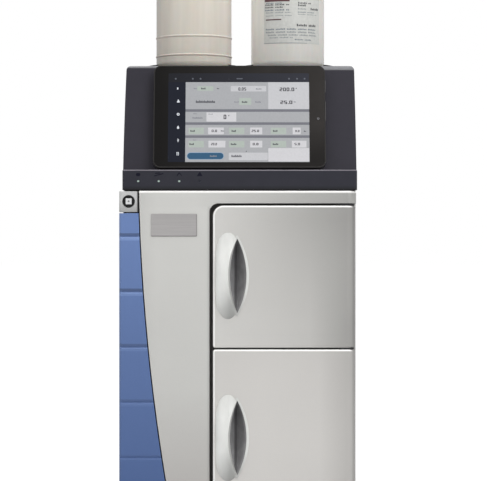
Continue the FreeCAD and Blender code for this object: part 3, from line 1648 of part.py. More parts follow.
def main_board():
    """The controller board on posts from the left cover, with its tall parts."""
    x = "inner_left"
    y, z = "board_y", "board_z"
    board = box(
        "board_sheet_part",
        (x + " + board_post", x + " + board_post + board_sheet"),
        (y, y + " + board_length"),
        (z, z + " + board_height"),
    )
    posts = [
        rod("board_post_%d" % i, "x", (x, y + " + " + dy, z + " + " + dz), "3", "board_post + 0.1")
        for i, (dy, dz) in enumerate(
            [(a, b) for a in ("8", "board_length - 8") for b in ("8", "board_height - 8")], start=1
        )
    ]
    top = x + " + board_post + board_sheet"
    chips = [
        box(
            "board_chip_%d" % i,
            (top, "%s + %s * board_grid" % (top, rise)),
            ("%s + %d * board_grid" % (y, start), "%s + %d * board_grid" % (y, end)),
            ("%s + %d * board_grid" % (z, low), "%s + %d * board_grid" % (z, high)),
        )
        for i, (rise, start, end, low, high) in enumerate(
            [(0.3, 6, 9, 7, 10), (1.4, 12, 15, 2, 5), (0.8, 2, 4, 12, 15), (1, 11, 17, 14, 15)], start=1
        )
    ]
    return fuse("main_board", board, *posts, *chips)


def build():
    """Builds every sub-part and returns the objects that are written."""
    nodes = [
        feet(),
        base_pan(),
        side_cover("left_cover", "cabinet_left", "+"),
        side_cover("right_cover", "edge_right", "-"),
        front_bulkhead(),
        rear_panel(),
        front_panel(),
        blue_panel(),
        button_plate(),
        *button_well(),
        door("upper_door", "upper_bottom", "upper_top", "upper_middle", "door_corner", "(door_corner - door_wall)"),
        door_liner("upper_door_liner", "upper_bottom", "upper_top", "(door_corner - door_wall)"),
        handle("upper_handle", "upper_middle"),
        door("lower_door", "lower_bottom", "lower_top", "lower_middle", "door_small_corner", "1.5"),
        door_liner("lower_door_liner", "lower_bottom", "lower_top", "1.5"),
        handle("lower_handle", "lower_middle"),
        *hinges(),
        top_cover(),
        status_band(),
        status_lights(),
        bottle_tray(),
        *tablet_parts(),
        bottle("left_bottle", "bottle_left_x", "bottle_radius", ("bead_low", "bead_high")),
        bottle("right_bottle", "bottle_right_x", "plain_bottle_radius", ()),
        cap("left_cap", "bottle_left_x"),
        cap("right_cap", "bottle_right_x"),
        compartment("upper_compartment", "upper_bottom", "upper_top", [("valve_x", "valve_z", "shaft_radius + 0.4")]),
        *valve_parts(),
        column("separator_column", "column_x", "column_length"),
        column("guard_column", "column_x - guard_offset", "guard_length"),
        column_clips(),
        suppressor(),
        conductivity_cell(),
        compartment(
            "lower_compartment",
            "lower_bottom",
            "lower_top",
            [(x, "pump_height", "piston_radius + 0.4") for x in ("pump_left_x", "pump_right_x")],
        ),
        pump_head("left_pump_head", "pump_left_x", False),
        pump_head("right_pump_head", "pump_right_x", True),
        check_valves(),
        piston("left_piston", "pump_left_x"),
        piston("right_piston", "pump_right_x"),
        pump_drive(),
        knob("priming_knob", "pump_right_x", "head_front", "pump_height"),
        pressure_transducer(),
        knob("waste_knob", "transducer_x + 12", "valve_back - transducer_depth", "transducer_z"),
        eluent_cartridge(),
        *fan_parts(),
        *mains_parts(),
        rear_ports(),
        main_board(),
    ]
    doc.recompute()
    return nodes


def write(nodes):
    """Checks every object, then writes each node's solids to parts/NODE.step."""
    for item in doc.Objects:
        if "Invalid" in item.State or "Error" in item.State:
            raise RuntimeError("%s failed: %s" % (item.Label, item.State))
    for item in nodes:
        if item.Shape.isNull() or not item.Shape.isValid() or item.Shape.Volume <= 0:
            raise RuntimeError("%s has no valid shape" % item.Label)
    os.makedirs("parts", exist_ok=True)
    for item in nodes:
        item.Shape.exportStep("parts/%s.step" % item.Label)


write(build())
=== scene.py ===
"""The looks of the ion chromatograph: paint, glass, screen, label, tubing, light and camera."""

import math

import bmesh
import bpy
from mathutils import Matrix, Vector


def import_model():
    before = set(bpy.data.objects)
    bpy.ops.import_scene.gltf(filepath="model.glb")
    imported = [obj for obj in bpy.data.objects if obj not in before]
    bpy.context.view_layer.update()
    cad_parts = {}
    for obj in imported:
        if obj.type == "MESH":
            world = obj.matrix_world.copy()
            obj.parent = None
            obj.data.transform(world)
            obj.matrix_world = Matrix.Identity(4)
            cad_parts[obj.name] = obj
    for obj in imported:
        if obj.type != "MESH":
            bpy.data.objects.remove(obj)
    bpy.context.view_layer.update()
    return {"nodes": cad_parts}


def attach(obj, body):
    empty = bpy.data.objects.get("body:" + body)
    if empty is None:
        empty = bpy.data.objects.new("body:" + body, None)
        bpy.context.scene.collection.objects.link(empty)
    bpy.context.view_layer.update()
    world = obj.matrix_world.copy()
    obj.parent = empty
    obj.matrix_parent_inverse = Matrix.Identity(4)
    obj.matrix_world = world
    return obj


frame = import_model()
NODES = frame["nodes"]


def box_of(name):
    """The lowest and the highest corner of a node, in metres."""
    item = NODES[name]
    spots = [item.matrix_world @ Vector(corner) for corner in item.bound_box]
    return [Vector(pick(spot[k] for spot in spots) for k in range(3)) for pick in (min, max)]


def middle_of(name):
    """The middle of a node's box, in metres."""
    low, high = box_of(name)
    return (low + high) / 2


FACE = box_of("blue_panel")[0].y
REAR = box_of("rear_panel")[1].y
TILT = math.radians(15)
TABLET_SET_BACK = 0.016
SLOPE_FOOT = Vector((middle_of("tablet_back").x, FACE + TABLET_SET_BACK, box_of("status_band")[1].z))
SLOPE = Matrix.Translation(SLOPE_FOOT) @ Matrix.Rotation(-TILT, 4, "X")
GLASS_FRONT = -0.0145


def linear(*levels):
    """A colour given as display levels from 0 to 255, turned into the linear values that nodes use."""
    shares = [v / 255 for v in levels]
    return [s / 12.92 if s <= 0.04045 else ((s + 0.055) / 1.055) ** 2.4 for s in shares] + [1.0]


def scaled(colour, factor):
    """A lighter or darker shade of a colour."""
    return [min(c * factor, 1.0) for c in colour[:3]] + [1.0]


# Materials


class Material:
    """A node material with a Principled shader, built up step by step."""

    def __init__(self, name):
        self.made = bpy.data.materials.new(name)
        self.made.use_nodes = True
        self.tree = self.made.node_tree
        self.shader = self.tree.nodes["Principled BSDF"]
        self.place = self.node("ShaderNodeTexCoord").outputs["Object"]

    def node(self, kind, **settings):
        made = self.tree.nodes.new(kind)
        for key, value in settings.items():
            setattr(made, key, value)
        return made

    def link(self, source, target):
        self.tree.links.new(source, target)

    def stretched(self, scale):
        mapping = self.node("ShaderNodeMapping")
        mapping.inputs["Scale"].default_value = scale
        self.link(self.place, mapping.inputs["Vector"])
        return mapping.outputs["Vector"]

    def noise(self, scale, detail=3.0, stretch=None):
        made = self.node("ShaderNodeTexNoise")
        made.inputs["Scale"].default_value = scale
        made.inputs["Detail"].default_value = detail
        self.link(self.stretched(stretch) if stretch else self.place, made.inputs["Vector"])
        return made.outputs["Fac"]

    def ramp(self, source, stops):
        made = self.node("ShaderNodeValToRGB")
        elements = made.color_ramp.elements
        while len(elements) < len(stops):
            elements.new(0.5)
        for element, (position, colour) in zip(elements, stops):
            element.position = position
            element.color = colour
        self.link(source, made.inputs["Fac"])
        return made.outputs["Color"]

    def between(self, source, low, high):
        made = self.node("ShaderNodeMapRange")
        made.inputs["To Min"].default_value = low
        made.inputs["To Max"].default_value = high
        self.link(source, made.inputs["Value"])
        return made.outputs["Result"]

    def mix(self, factor, first, second, blend="MIX"):
        made = self.node("ShaderNodeMix", data_type="RGBA", blend_type=blend)
        if isinstance(factor, float):
            made.inputs["Factor"].default_value = factor
        else:
            self.link(factor, made.inputs["Factor"])
        for socket, value in ((made.inputs[6], first), (made.inputs[7], second)):
            if isinstance(value, (list, tuple)):
                socket.default_value = value
            else:
                self.link(value, socket)
        return made.outputs[2]

    def axis(self, name):
        made = self.node("ShaderNodeSeparateXYZ")
        self.link(self.place, made.inputs["Vector"])
        return made.outputs[name]

    def math(self, operation, first, second=None):
        made = self.node("ShaderNodeMath", operation=operation)
        for socket, value in zip(made.inputs, (first, second)):
            if value is None:
                continue
            if isinstance(value, (int, float)):
                socket.default_value = value
            else:
                self.link(value, socket)
        return made.outputs[0]

    def colour(self, source):
        self.link(source, self.shader.inputs["Base Color"])

    def rough(self, source):
        self.link(source, self.shader.inputs["Roughness"])

    def bump(self, source, strength, distance, rounding=0.0):
        made = self.node("ShaderNodeBump")
        made.inputs["Strength"].default_value = strength
        made.inputs["Distance"].default_value = distance
        self.link(source, made.inputs["Height"])
        if rounding:
            bevel = self.node("ShaderNodeBevel", samples=4)
            bevel.inputs["Radius"].default_value = rounding
            self.link(bevel.outputs["Normal"], made.inputs["Normal"])
        self.link(made.outputs["Normal"], self.shader.inputs["Normal"])

    def set(self, **values):
        for key, value in values.items():
            self.shader.inputs[key.replace("_", " ")].default_value = value

    def along(self, axis, low, high):
        """A share from 0 to 1 between two places on an axis, in metres."""
        spread = self.node("ShaderNodeMapRange")
        spread.inputs["From Min"].default_value = low
        spread.inputs["From Max"].default_value = high
        self.link(self.axis(axis), spread.inputs["Value"])
        return spread.outputs["Result"]

    def shaded(self, colour, share, stops):
        """The colour times a factor, given as grey levels or as three channels at shares of a range."""
        tones = [(at, [*f, 1] if isinstance(f, tuple) else [f, f, f, 1]) for at, f in stops]
        return self.mix(1.0, colour, self.ramp(share, tones), "MULTIPLY")

    def within(self, places):
        """A factor of 1 where every range, from nothing at its start to all at its end, holds."""
        share = self.along(*places[0])
        for place in places[1:]:
            share = self.math("MULTIPLY", share, self.along(*place))
        return share

    def fade(self, colour, axis, low, high, first, last, *places):
        """The colour times a factor that goes from first to last between two places on an axis, in metres."""
        faded = self.shaded(colour, self.along(axis, low, high), [(0.0, first), (1.0, last)])
        return self.mix(self.within(places), colour, faded) if places else faded

    def touch(self, colour, other, *ranges):
        """The other colour where each axis range, from nothing at its start to all at its end, holds."""
        return self.mix(self.within(ranges), colour, other)

    def corner_line(self, colour, light, left, top, radius, width):
        """A painted highlight line, as a rounded edge catches, along a left and a top edge that meet in a
        round corner.
        """
        soft = 0.0009
        aside = self.math("SUBTRACT", left + radius, self.axis("X"))
        above = self.math("SUBTRACT", self.axis("Z"), top - radius)
        outer = [self.math("POWER", self.math("MAXIMUM", part, 0.0), 2.0) for part in (aside, above)]
        length = self.math("SQRT", self.math("ADD", *outer))
        inner = self.math("MINIMUM", self.math("MAXIMUM", aside, above), 0.0)
        depth = self.math("SUBTRACT", radius, self.math("ADD", length, inner))
        share = self.math("DIVIDE", self.math("SUBTRACT", width + soft, depth), soft)
        front = self.along("Y", FACE + 0.004, FACE + 0.002)
        share = self.math("MULTIPLY", self.math("MINIMUM", share, 1.0), front)
        return self.mix(share, colour, light)


def moulded(name, colour, roughness=0.45, grain=1400, depth=0.00005, spread=0.05, rounding=0.0003, gloss=0.5,
            fades=(), touches=()):
    """Moulded plastic: a faint mottle in its colour, a fine texture and softly rounded edges."""
    m = Material(name)
    body = m.ramp(m.noise(60, 3), [(0.3, scaled(colour, 1 - spread)), (0.7, scaled(colour, 1 + spread))])
    for fade in fades:
        body = m.fade(body, *fade)
    for touch in touches:
        body = m.touch(body, *touch)
    m.colour(body)
    m.rough(m.between(m.noise(220, 4), roughness - 0.05, roughness + 0.07))
    m.bump(m.noise(grain, 2), 0.35, depth, rounding)
    m.set(Specular_IOR_Level=gloss)
    return m


def painted(name, colour, metallic, roughness, spread=0.03, rounding=0.0004, fades=(), lines=(), touches=()):
    """Paint with fine flakes and a slow drift, then fades, painted highlight lines along edges and touches of
    another colour.
    """
    m = Material(name)
    fine = spread * 1.6
    flakes = m.ramp(m.noise(2600, 2), [(0.35, scaled(colour, 1 - fine)), (0.65, scaled(colour, 1 + fine))])
    drift = m.ramp(m.noise(7, 2), [(0.3, scaled(colour, 1 - spread)), (0.7, scaled(colour, 1 + spread))])
    paint = m.mix(0.5, flakes, drift)
    for fade in fades:
        paint = m.fade(paint, *fade)
    for line in lines:
        paint = m.corner_line(paint, *line)
    for touch in touches:
        paint = m.touch(paint, *touch)
    m.colour(paint)
    m.rough(m.between(m.noise(90, 3), roughness - 0.03, roughness + 0.04))
    m.bump(m.noise(1800, 2), 0.12, 0.00002, rounding)
    m.set(Metallic=metallic)
    return m


def metal(name, colour, roughness, stretch=(30, 30, 3000)):
    """Turned or brushed metal with fine lines."""
    m = Material(name)
    lines = m.noise(1, 4, stretch)
    m.colour(m.ramp(lines, [(0.3, scaled(colour, 0.86)), (0.7, scaled(colour, 1.08))]))
    m.rough(m.between(lines, roughness - 0.08, roughness + 0.1))
    m.bump(lines, 0.15, 0.00003, 0.0002)
    m.set(Metallic=0.9)
    return m


def clear_plastic(name, colour, roughness, outline_shade_colour, fades=()):
    """Cloudy bottle plastic with painted shade towards its outline, and faint vertical flow marks."""
    m = Material(name)
    flow = m.noise(1, 3, (160, 160, 12))
    body = m.ramp(flow, [(0.3, scaled(colour, 0.97)), (0.7, scaled(colour, 1.03))])
    # Painted shade towards the outline, where the surface turns away from the view
    edge = m.node("ShaderNodeLayerWeight")
    edge.inputs["Blend"].default_value = 0.32
    rim = m.ramp(edge.outputs["Facing"], [(0.35, [0, 0, 0, 1]), (0.95, [1, 1, 1, 1])])
    body = m.mix(rim, body, outline_shade_colour)
    for fade in fades:
        body = m.fade(body, *fade)
    m.colour(body)
    m.rough(m.between(m.noise(140, 3), roughness - 0.04, roughness + 0.05))
    m.bump(flow, 0.2, 0.0002)
    m.set(Subsurface_Weight=0.18, Subsurface_Scale=0.01)
    return m


# The colour of the painted highlight lines along rounded edges
EDGE_HIGHLIGHT = linear(255, 253, 250)
DOOR_LEFT, DOOR_RIGHT = (corner.x for corner in box_of("upper_door"))
DOOR_TOP, LOWER_TOP = box_of("upper_door")[1].z, box_of("lower_door")[1].z


def panel_paint(name, colour, **more):
    """The metallic paint that the silver panel and the doors share."""
    return painted(name, colour, 0.12, 0.42, rounding=0.0005, **more)


def silver_paint():
    """Silver with painted shade low down, at its left, by the doors and to the right above them, and a
    painted top highlight.
    """
    above_doors = ("Z", DOOR_TOP - 0.004, DOOR_TOP)
    beside_doors = ("Z", DOOR_TOP, DOOR_TOP - 0.004)
    # Painted shade: darker towards the foot and the left, to the right above the doors and beside the doors'
    # gap
    fades = [
        ("Z", 0.07, 0.20, (0.79, 0.765, 0.765), 1.0),
        ("Z", 0.20, 0.44, 0.90, 1.0),
        ("X", -0.12, -0.10, 0.92, 1.0),
        ("X", -0.053, 0.137, 0.98, 0.58, above_doors),
        ("X", DOOR_LEFT - 0.0075, DOOR_LEFT - 0.0045, 1.0, 0.75, beside_doors),
    ]
    top = box_of("front_panel")[1].z
    # A painted highlight along the rounded top edge
    top_highlight = (EDGE_HIGHLIGHT, ("Z", top - 0.0032, top - 0.0018))
    return panel_paint("silver_paint", linear(204, 203, 199), fades=fades, touches=[top_highlight])


def plate_paint():
    """The button's plate, with painted shade at its foot and a painted shadow of the gap along its right
    edge.
    """
    foot, right = box_of("button_plate")[0].z, box_of("button_plate")[1].x
    # Painted shade at the foot and a painted shadow of the gap along the right edge
    return painted("button_plate_paint", linear(196, 196, 195), 0.2, 0.38, 0.12, fades=[
        ("Z", foot, foot + 0.014, 0.62, 1.0),
        ("X", right - 0.0023, right - 0.0011, 1.0, 0.06),
    ])


def door_paints():
    """Both doors' paint: painted shade to the right and on the right edge, and a painted highlight along the
    left and top edge.
    """
    # Painted shade on the rounded right edge
    right_edge_shade = ("X", DOOR_RIGHT - 0.0045, DOOR_RIGHT - 0.0012, 1.0, 0.62)
    upper_half, lower_half = ("Z", 0.28, 0.41), ("Z", 0.41, 0.28)
    # A painted highlight along the left and the top edge
    light = (EDGE_HIGHLIGHT, DOOR_LEFT, DOOR_TOP, 0.013, 0.0017)
    # Painted shade: the upper door darkens towards the right, more so in its upper part
    upper = panel_paint("upper_door_paint", linear(203, 201, 197), lines=[light], fades=[
        ("X", -0.02, 0.14, 1.0, 0.49, upper_half),
        ("X", -0.02, 0.09, 1.0, 0.84, lower_half),
        ("X", 0.088, 0.142, 1.0, 0.60, lower_half),
        right_edge_shade,
    ])
    light = (EDGE_HIGHLIGHT, DOOR_LEFT, LOWER_TOP, 0.003, 0.0016)
    # Painted shade: the lower door darkens towards the right and a little in its lower middle
    lower = panel_paint("lower_door_paint", linear(206, 203, 199), lines=[light], fades=[
        ("X", 0.03, 0.10, 1.0, 0.96),
        ("X", 0.10, 0.142, 1.0, 0.74),
        ("Z", 0.13, 0.24, 1.0, 0.94),
        ("Z", 0.05, 0.15, 0.94, 1.0),
        right_edge_shade,
    ])
    return {"upper_door": upper, "lower_door": lower}


def grooved_paint():
    """Blue with painted shade lower down, and a painted shadow above and highlight below each groove, fading
    lower down.
    """
    # Painted shade: darker towards the foot
    downward_shade = ("Z", 0.09, 0.43, (0.43, 0.505, 0.59), (0.965, 0.955, 0.945))
    fades = [downward_shade, ("Z", 0.26, 0.40, 0.93, 1.0)]
    m = painted("blue_paint", linear(104, 130, 182), 0.2, 0.4, 0.04, fades=fades)
    paint = m.shader.inputs["Base Color"].links[0].from_socket
    first_groove, pitch = 0.0285, 0.068
    start = box_of("blue_panel")[1].z - first_groove + pitch / 2
    turns = m.math("DIVIDE", m.math("SUBTRACT", m.axis("Z"), start), pitch)
    share = m.math("FRACT", m.math("ADD", turns, 20.0))
    # A painted highlight just below each groove and a painted shadow just above it
    light = [(0.421, 1.0), (0.431, (1.5, 1.4, 1.28)), (0.478, (1.25, 1.18, 1.1))]
    dark = [(0.496, 0.80), (0.518, 0.60), (0.552, 0.49), (0.562, 1.0)]
    m.colour(m.mix(m.along("Z", 0.10, 0.34), paint, m.shaded(paint, share, light + dark)))
    return m


def cover_plastic():
    """The dark top cover, with painted highlights along the front edge of its deck, broader at its right end.
    """
    deck = box_of("top_cover")[1].z
    brow = SLOPE_FOOT.y + (deck - SLOPE_FOOT.z) * math.tan(TILT)
    front = ("Y", brow + 0.006, brow + 0.002)
    # Painted highlights along the front edge of the deck, broader at its right end
    edge = (linear(150, 150, 152), ("Z", deck - 0.0034, deck - 0.0010), front)
    right_end_highlight = (linear(131, 131, 134), ("Z", deck - 0.0060, deck - 0.0046), ("X", 0.093, 0.098), front)
    return moulded("dark_cover", linear(43, 41, 49), 0.5, 1100, 0.00008, gloss=0.2, touches=[edge, right_end_highlight])


def band_plastic():
    """The dark status band, with a painted highlight along its top edge and painted shade along its lower
    edge.
    """
    low, top = (corner.z for corner in box_of("status_band"))
    # A painted highlight on the rounded top edge, and painted shade along the lower edge
    return moulded("dark_band", linear(42, 42, 50), 0.45, 1300, 0.00005, gloss=0.2, fades=[
        ("Z", top - 0.0015, top - 0.0009, 1.0, (9.0, 8.4, 6.9)),
        ("Z", low + 0.0008, low + 0.0024, 0.1, 1.0),
        ("Z", low + 0.0022, low + 0.0065, (0.45, 0.47, 0.42), 1.0),
    ])


looks = {
    "front_panel": silver_paint(),
    "button_plate": plate_paint(),
    **door_paints(),
    "blue_panel": grooved_paint(),
    "left_cover": painted("cover_paint", linear(190, 189, 186), 0.0, 0.5),
    "rear_panel": painted("rear_paint", linear(184, 183, 180), 0.0, 0.5),
    "base_pan": painted("pan_paint", linear(150, 150, 150), 0.3, 0.45),
    "front_bulkhead": painted("bulkhead_paint", linear(108, 104, 102), 0.0, 0.5),
    "top_cover": cover_plastic(),
    "status_band": band_plastic(),
    "bottle_tray": moulded("dark_tray", linear(50, 49, 55), 0.55, 900, 0.00009, gloss=0.2),
    "tablet_cradle": moulded("cradle_plastic", linear(30, 30, 32), 0.6, gloss=0.2),
    "button_ring": moulded("ring_black", linear(10, 10, 11), 0.25, 2000, 0.00001, gloss=0.25),
    "injection_valve": metal("valve_steel", linear(186, 186, 190), 0.28, (30, 30, 30)),
    "left_pump_head": metal("head_steel", linear(192, 192, 196), 0.26, (900, 20, 900)),
    "check_valves": metal("check_steel", linear(200, 194, 180), 0.3),
    # The hinges' steel is made dark as painted shade, so that the doors' gap reads dark
    "hinge_plates": metal("hinge_steel_gap_shade", linear(58, 58, 61), 0.45),
    "pump_drive": metal("drive_alloy", linear(160, 160, 164), 0.45),
    "pressure_transducer": metal("block_alloy", linear(176, 176, 180), 0.4),
}

# Plain mouldings: a name, a colour in display levels and what else moulded takes, from the roughness on
PLAIN = {
    "feet": ("foot_rubber", (34, 34, 36), 0.8, 700, 0.0001),
    "upper_door_liner": ("liner_plastic", (208, 208, 206), 0.5),
    "upper_compartment": ("tub_plastic", (214, 214, 212), 0.5),
    "tablet_back": ("tablet_case", (30, 28, 27), 0.35, 2400, 0.00002, 0.04, 0.0004, 0.25),
    "tablet_power_key": ("tablet_keys", (62, 60, 60), 0.35),
    "power_button": ("button_white", (222, 222, 222), 0.35),
    "left_cap": ("cap_white", (232, 231, 226), 0.45, 1600, 0.00004),
    "valve_actuator": ("drive_grey", (62, 62, 66), 0.5),
    "valve_fittings": ("fitting_amber", (196, 168, 112), 0.4),
    "separator_column": ("column_amber", (212, 196, 160), 0.35),
    "column_clips": ("clip_grey", (70, 72, 78), 0.5),
    "suppressor": ("suppressor_blue", (84, 110, 156), 0.45),
    "conductivity_cell": ("cell_grey", (62, 64, 70), 0.45),
    "left_piston": ("ceramic", (238, 236, 230), 0.15),
    "priming_knob": ("knob_black", (30, 30, 32), 0.4),
    "eluent_cartridge": ("cartridge_white", (228, 228, 224), 0.4),
    "fan_frame": ("fan_black", (30, 30, 32), 0.5),
    "mains_inlet": ("inlet_black", (24, 24, 26), 0.45),
    "mains_switch": ("rocker_black", (20, 20, 22), 0.25),
    "rear_ports": ("port_grey", (66, 68, 72), 0.45),
    "main_board": ("board_green", (28, 92, 54), 0.4),
}
for node, (name, levels, *more) in PLAIN.items():
    looks[node] = moulded(name, linear(*levels), *more)

SHARED = {
    "right_cover": "left_cover",
    "lower_door_liner": "upper_door_liner",
    "lower_compartment": "upper_compartment",
    "tablet_volume_key": "tablet_power_key",
    "right_cap": "left_cap",
    "guard_column": "separator_column",
    "sample_loop": "valve_fittings",
    "right_piston": "left_piston",
    "waste_knob": "priming_knob",
    "fan_rotor": "fan_frame",
    "valve_rotor": "injection_valve",
    "right_pump_head": "left_pump_head",
    "hinge_pins": "hinge_plates",
}


def handle_material(node):
    """White plastic with painted light and shade on the grip, and a cup painted dark as its shade: the cup is
    what lies behind the door's face inside the pointed mouth.
    """
    m = Material(node + "_plastic")
    low, high = box_of(node)
    rise = high.z - low.z
    white = linear(238, 238, 234)
    grip = m.ramp(m.noise(80, 3), [(0.3, scaled(white, 0.98)), (0.7, scaled(white, 1.02))])
    lower_half, left_part = ("Z", low.z + rise * 0.5, low.z + rise * 0.2), ("X", low.x + 0.026, low.x + 0.023)
    # Painted light and shade on the grip: darker at its ends and to the right, lighter on its left and lower
    # left
    for fade in (
        ("Z", low.z, low.z + rise * 0.36, 0.58, 1.0),
        ("Z", high.z - rise * 0.25, high.z, 1.0, 0.84),
        ("X", low.x + 0.002, low.x + 0.017, 1.12, 0.86),
        ("X", low.x + 0.002, low.x + 0.019, 1.22, 0.72, lower_half, left_part),
    ):
        grip = m.fade(grip, *fade)
    deep = m.math("GREATER_THAN", m.axis("Y"), FACE + 0.0006)
    # The cup is painted dark as its shade, with a darker fold and lighter towards its bottom
    cup = m.ramp(m.noise(90, 3), [(0.3, linear(104, 103, 104)), (0.7, linear(120, 119, 120))])
    cup = m.shaded(cup, m.along("X", low.x, high.x),
                   [(0.45, 0.88), (0.545, 0.95), (0.583, 0.36), (0.625, 0.36), (0.66, 1.08), (0.9, 1.3)])
    cup = m.shaded(cup, m.along("Z", low.z, high.z), [(0.05, 1.9), (0.3, 1.45), (0.6, 1.1), (0.95, 0.5)])
    m.colour(m.mix(deep, grip, cup))
    m.rough(m.between(m.noise(200, 3), 0.33, 0.43))
    m.bump(m.noise(1500, 2), 0.2, 0.00003, 0.0005)
    return m


def lights_material():
    """The four light pipes: the first three glow softly in the middle, the last is off."""
    m = Material("status_light")
    low, high = box_of("status_lights")
    radius = (high.z - low.z) / 2
    pitch = (high.x - low.x - 2 * radius) / 3
    turns = m.math("DIVIDE", m.math("SUBTRACT", m.axis("X"), low.x + radius - pitch / 2), pitch)
    across = m.math("MULTIPLY", m.math("SUBTRACT", m.math("FRACT", turns), 0.5), pitch / radius)
    up = m.math("DIVIDE", m.math("SUBTRACT", m.axis("Z"), low.z + radius * 0.75), radius)
    taller = m.math("MULTIPLY", m.math("MULTIPLY", up, up), 1.6)
    reach = m.math("ADD", m.math("MULTIPLY", across, across), taller)
    core = m.ramp(reach, [(0.3, linear(172, 188, 180)), (0.9, linear(44, 50, 54))])
    lit = m.math("LESS_THAN", m.axis("X"), low.x + 2.5 * pitch)
    glow = m.mix(lit, linear(34, 36, 44), core)
    m.colour(glow)
    m.link(glow, m.shader.inputs["Emission Color"])
    m.rough(m.between(m.noise(900, 2), 0.3, 0.45))
    m.set(Specular_IOR_Level=0.15, Emission_Strength=0.12)
    return m


def glass_material():
    """The tablet's black front glass, with a painted reflection that lightens it rightwards and, in the
    middle, upwards, and a slight smear in its gloss.
    """
    m = Material("tablet_glass_black")
    black = m.ramp(m.noise(30, 2), [(0.3, linear(28, 26, 25)), (0.7, linear(32, 30, 29))])
    # A painted reflection: the glass lightens to the right, and upwards in its middle
    black = m.fade(black, "X", SLOPE_FOOT.x - 0.105, SLOPE_FOOT.x + 0.105, 0.4, 2.5)
    m.colour(m.fade(black, "Z", 0.487, 0.531, 0.42, 1.0, ("X", SLOPE_FOOT.x - 0.06, SLOPE_FOOT.x + 0.09)))
    m.rough(m.between(m.noise(14, 4), 0.10, 0.17))
    m.set(Specular_IOR_Level=0.12)
    return m


looks["upper_handle"] = handle_material("upper_handle")
looks["lower_handle"] = handle_material("lower_handle")
looks["status_lights"] = lights_material()
looks["tablet_glass"] = glass_material()
low, high = box_of("left_bottle")
# Painted light and shade on the cream bottle: darker at its left, lighter at its foot and its right side
looks["left_bottle"] = clear_plastic("bottle_cream", linear(219, 208, 196), 0.38, linear(140, 134, 126), [
    ("X", low.x, low.x + 0.025, 0.88, 1.0),
    ("Z", low.z, low.z + 0.007, 1.3, 1.0),
    ("X", high.x - 0.022, high.x, 1.0, (1.18, 1.2, 1.25)),
])
low, high = box_of("right_bottle")
# Painted light on the grey bottle: lighter at its left side and its foot
looks["right_bottle"] = clear_plastic("bottle_grey", linear(221, 214, 207), 0.32, linear(182, 178, 172), [
    ("X", low.x, low.x + 0.026, 1.45, 1.0),
    ("Z", low.z, low.z + 0.007, 1.3, 1.0),
])
for node, other in SHARED.items():
    looks[node] = looks[other]
for name, item in NODES.items():
    item.data.materials.clear()
    item.data.materials.append(looks[name].made)


# Building pieces


def placed(name, data):
    """A new object in the scene."""
    item = bpy.data.objects.new(name, data)
    bpy.context.scene.collection.objects.link(item)
    return item


def add(name, mesh, body, material, matrix=None, smooth=False):
    """Puts a bmesh into the scene as a piece that rides on a body."""
    data = bpy.data.meshes.new(name)
    mesh.normal_update()
    mesh.to_mesh(data)
    mesh.free()
    item = placed(name, data)
    materials = material if isinstance(material, list) else [material]
    for made in materials:
        data.materials.append(made.made)
    if matrix is not None:
        data.transform(matrix)
    for face in data.polygons:
        face.use_smooth = smooth
    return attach(item, body)


def card(mesh, left, right, low, high, y, radius=0.0, index=0):
    """A flat upright face with round corners, which looks towards -Y."""
    points, steps = [], 5
    if radius:
        spots = ((right - radius, low + radius, -90), (right - radius, high - radius, 0),
                 (left + radius, high - radius, 90), (left + radius, low + radius, 180))
        for x, z, start in spots:
            for i in range(steps + 1):
                a = math.radians(start + 90 * i / steps)
                points.append((x + radius * math.cos(a), y, z + radius * math.sin(a)))
    else:
        points = [(left, y, low), (right, y, low), (right, y, high), (left, y, high)]
    face = mesh.faces.new([mesh.verts.new(p) for p in points])
    face.material_index = index
    return face


def slab(mesh, left, right, low, high, front, back, radius):
    """A plate with round corners between two depths."""
    first = card(mesh, left, right, low, high, front, radius)
    made = bmesh.ops.extrude_face_region(mesh, geom=[first])
    moved = [v for v in made["geom"] if isinstance(v, bmesh.types.BMVert)]
    bmesh.ops.translate(mesh, verts=moved, vec=(0, back - front, 0))
    bmesh.ops.recalc_face_normals(mesh, faces=mesh.faces)


def soften(item, width):
    """Rounds the edges of a piece."""
    modifier = item.modifiers.new("soft_edge", "BEVEL")
    modifier.width = width
    modifier.segments = 2
    modifier.limit_method = "ANGLE"


# The tablet's screen


def flat(name, colour, fade=None):
    """A patch of lit screen: part of its colour is its own light."""
    m = Material(name)
    shade = m.ramp(m.noise(500, 2), [(0.3, scaled(colour, 0.97)), (0.7, scaled(colour, 1.03))])
    if fade:
        shade = m.fade(shade, *fade)
    m.colour(m.mix(1.0, shade, [0.5, 0.5, 0.5, 1], "MULTIPLY"))
    m.link(shade, m.shader.inputs["Emission Color"])
    m.rough(m.between(m.noise(60, 2), 0.22, 0.30))
    m.set(Specular_IOR_Level=0.12, Emission_Strength=0.45)
    return m


SCREEN = {
    "bar": linear(42, 43, 50),
    "side": linear(28, 31, 42),
    "page": linear(174, 175, 178),
    "rule": linear(122, 123, 130),
    "pale": linear(202, 202, 205),
    "field": linear(212, 211, 214),
    "ink": linear(74, 76, 82),
    "faint": linear(140, 142, 148),
    "green": linear(180, 189, 181),
    "blue": linear(58, 94, 124),
    "rim": linear(150, 176, 200),
    "icon": linear(226, 230, 236),
    "mark": linear(96, 99, 108),
    "figure": linear(46, 44, 52),
}
KINDS = list(SCREEN)

# The display's size and its lower left corner in metres, then the page's divisions in millimetres
WIDE, HIGH = 0.1747, 0.1155
LEFT, LOW = -0.0883, 0.0060
SIDE_BAR, PAGE_TOP = 21.5, 103.8

